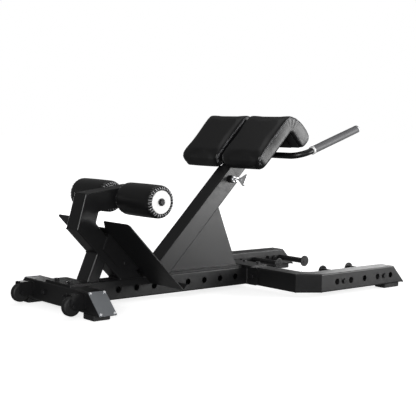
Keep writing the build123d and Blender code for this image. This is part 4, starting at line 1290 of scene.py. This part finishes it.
@dataclass
class Studio:
    """Pale floor, soft light and the camera."""

    camera_place: tuple[float, float, float] = (-2.62443, -3.00967, 0.67719)
    heading: float = 0.7159
    tilt: float = 0.0833
    roll: float = 0.0213
    lens: float = 85.135
    surround: float = 0.12
    floor_glow: float = 0.74
    glow_reach: tuple[float, float] = (1.2, 3.4)
    floor_half: float = 40.0
    dome_radius: float = 45.0

    def build(self) -> None:
        """Makes the floor, the backdrop, the lights and the camera."""
        self.floor()
        self.dome()
        self.world()
        for lamp in SOFTBOXES:
            lamp.build()
        self.camera()
        view = bpy.context.scene.view_settings
        view.view_transform = "Standard"
        view.look = "None"
        LOG.info("studio set")

    def floor(self) -> None:
        """Makes the white floor, a lit sheet of paper that throws no light back on the bench."""
        size = self.floor_half
        floor = add_piece("studio_floor", [(-size, -size, 0), (size, -size, 0), (size, size, 0),
                                           (-size, size, 0)], [(0, 1, 2, 3)], False)
        paper = bpy.data.materials.new("matte_white_paper")
        tree = empty_tree(paper)
        place = add_node(tree, "ShaderNodeTexCoord").outputs["Object"]
        reach = add_node(tree, "ShaderNodeVectorMath", {"operation": "LENGTH"}, links={0: place})
        glow = add_node(tree, "ShaderNodeMapRange", links={"Value": reach.outputs["Value"]}, values={
            "From Min": self.glow_reach[0], "From Max": self.glow_reach[1],
            "To Min": self.floor_glow, "To Max": 1.0})
        shader = add_node(tree, "ShaderNodeBsdfPrincipled", values={
            "Base Color": linear("#dcdcdc"), "Roughness": 0.95, "Specular IOR Level": 0.0,
            "Emission Color": (1, 1, 1, 1)}, links={"Emission Strength": glow.outputs[0]})
        add_node(tree, "ShaderNodeOutputMaterial", links={"Surface": shader.outputs[0]})
        paper.cycles.emission_sampling = "NONE"
        floor.data.materials.append(paper)
        floor.visible_diffuse = False
        floor.visible_glossy = False

    def dome(self) -> None:
        """Makes the white backdrop dome, which is behind everything and lights nothing."""
        builder = bmesh.new()
        bmesh.ops.create_uvsphere(builder, u_segments=48, v_segments=24, radius=self.dome_radius)
        mesh = bpy.data.meshes.new("studio_dome")
        builder.to_mesh(mesh)
        builder.free()
        dome = place_object("studio_dome", mesh)
        cloth = bpy.data.materials.new("lit_white_backdrop")
        tree = empty_tree(cloth)
        glow = add_node(tree, "ShaderNodeEmission", values={"Color": (1, 1, 1, 1), "Strength": 1.0})
        add_node(tree, "ShaderNodeOutputMaterial", links={"Surface": glow.outputs[0]})
        cloth.cycles.emission_sampling = "NONE"
        mesh.materials.append(cloth)
        dome.visible_diffuse = False
        dome.visible_glossy = False
        dome.visible_shadow = False

    def world(self) -> None:
        """Makes the dim surround that fills the shadows."""
        world = bpy.data.worlds.new("studio_surround")
        bpy.context.scene.world = world
        tree = empty_tree(world)
        back = add_node(tree, "ShaderNodeBackground", values={
            "Color": (1, 1, 1, 1), "Strength": self.surround})
        add_node(tree, "ShaderNodeOutputWorld", links={"Surface": back.outputs[0]})

    def camera(self) -> None:
        """Places the camera."""
        data = bpy.data.cameras.new("camera")
        data.lens = self.lens
        data.sensor_width = 36.0
        data.clip_end = 100.0
        data.dof.use_dof = False
        ahead = Vector((math.cos(self.tilt) * math.sin(self.heading),
                        math.cos(self.tilt) * math.cos(self.heading), -math.sin(self.tilt)))
        right = Vector((math.cos(self.heading), -math.sin(self.heading), 0))
        up = right.cross(ahead)
        turned_right = right * math.cos(self.roll) + up * math.sin(self.roll)
        turned_up = up * math.cos(self.roll) - right * math.sin(self.roll)
        camera = place_object("camera", data)
        pose = Matrix((turned_right, turned_up, -ahead)).transposed().to_4x4()
        pose.translation = Vector(self.camera_place)
        camera.matrix_world = pose
        bpy.context.scene.camera = camera


def main() -> None:
    """Dresses the frame, builds every soft piece and sets the studio."""
    logging.basicConfig(level=logging.INFO, format="%(name)s %(message)s")
    Studio().build()
    palette = Palette()
    palette.dress_nodes()
    post = post_line()
    WeldBeads(post).build(palette)
    for name, side in SIDES.items():
        HipPad(name, side, post).build(palette)
        RollerCover(name, side).build(palette)
        HandGrip(name, side).build(palette)
    FootPlateTread().build(palette)
    ArmSleeves().build(palette)


if __name__ == "__main__":
    main()
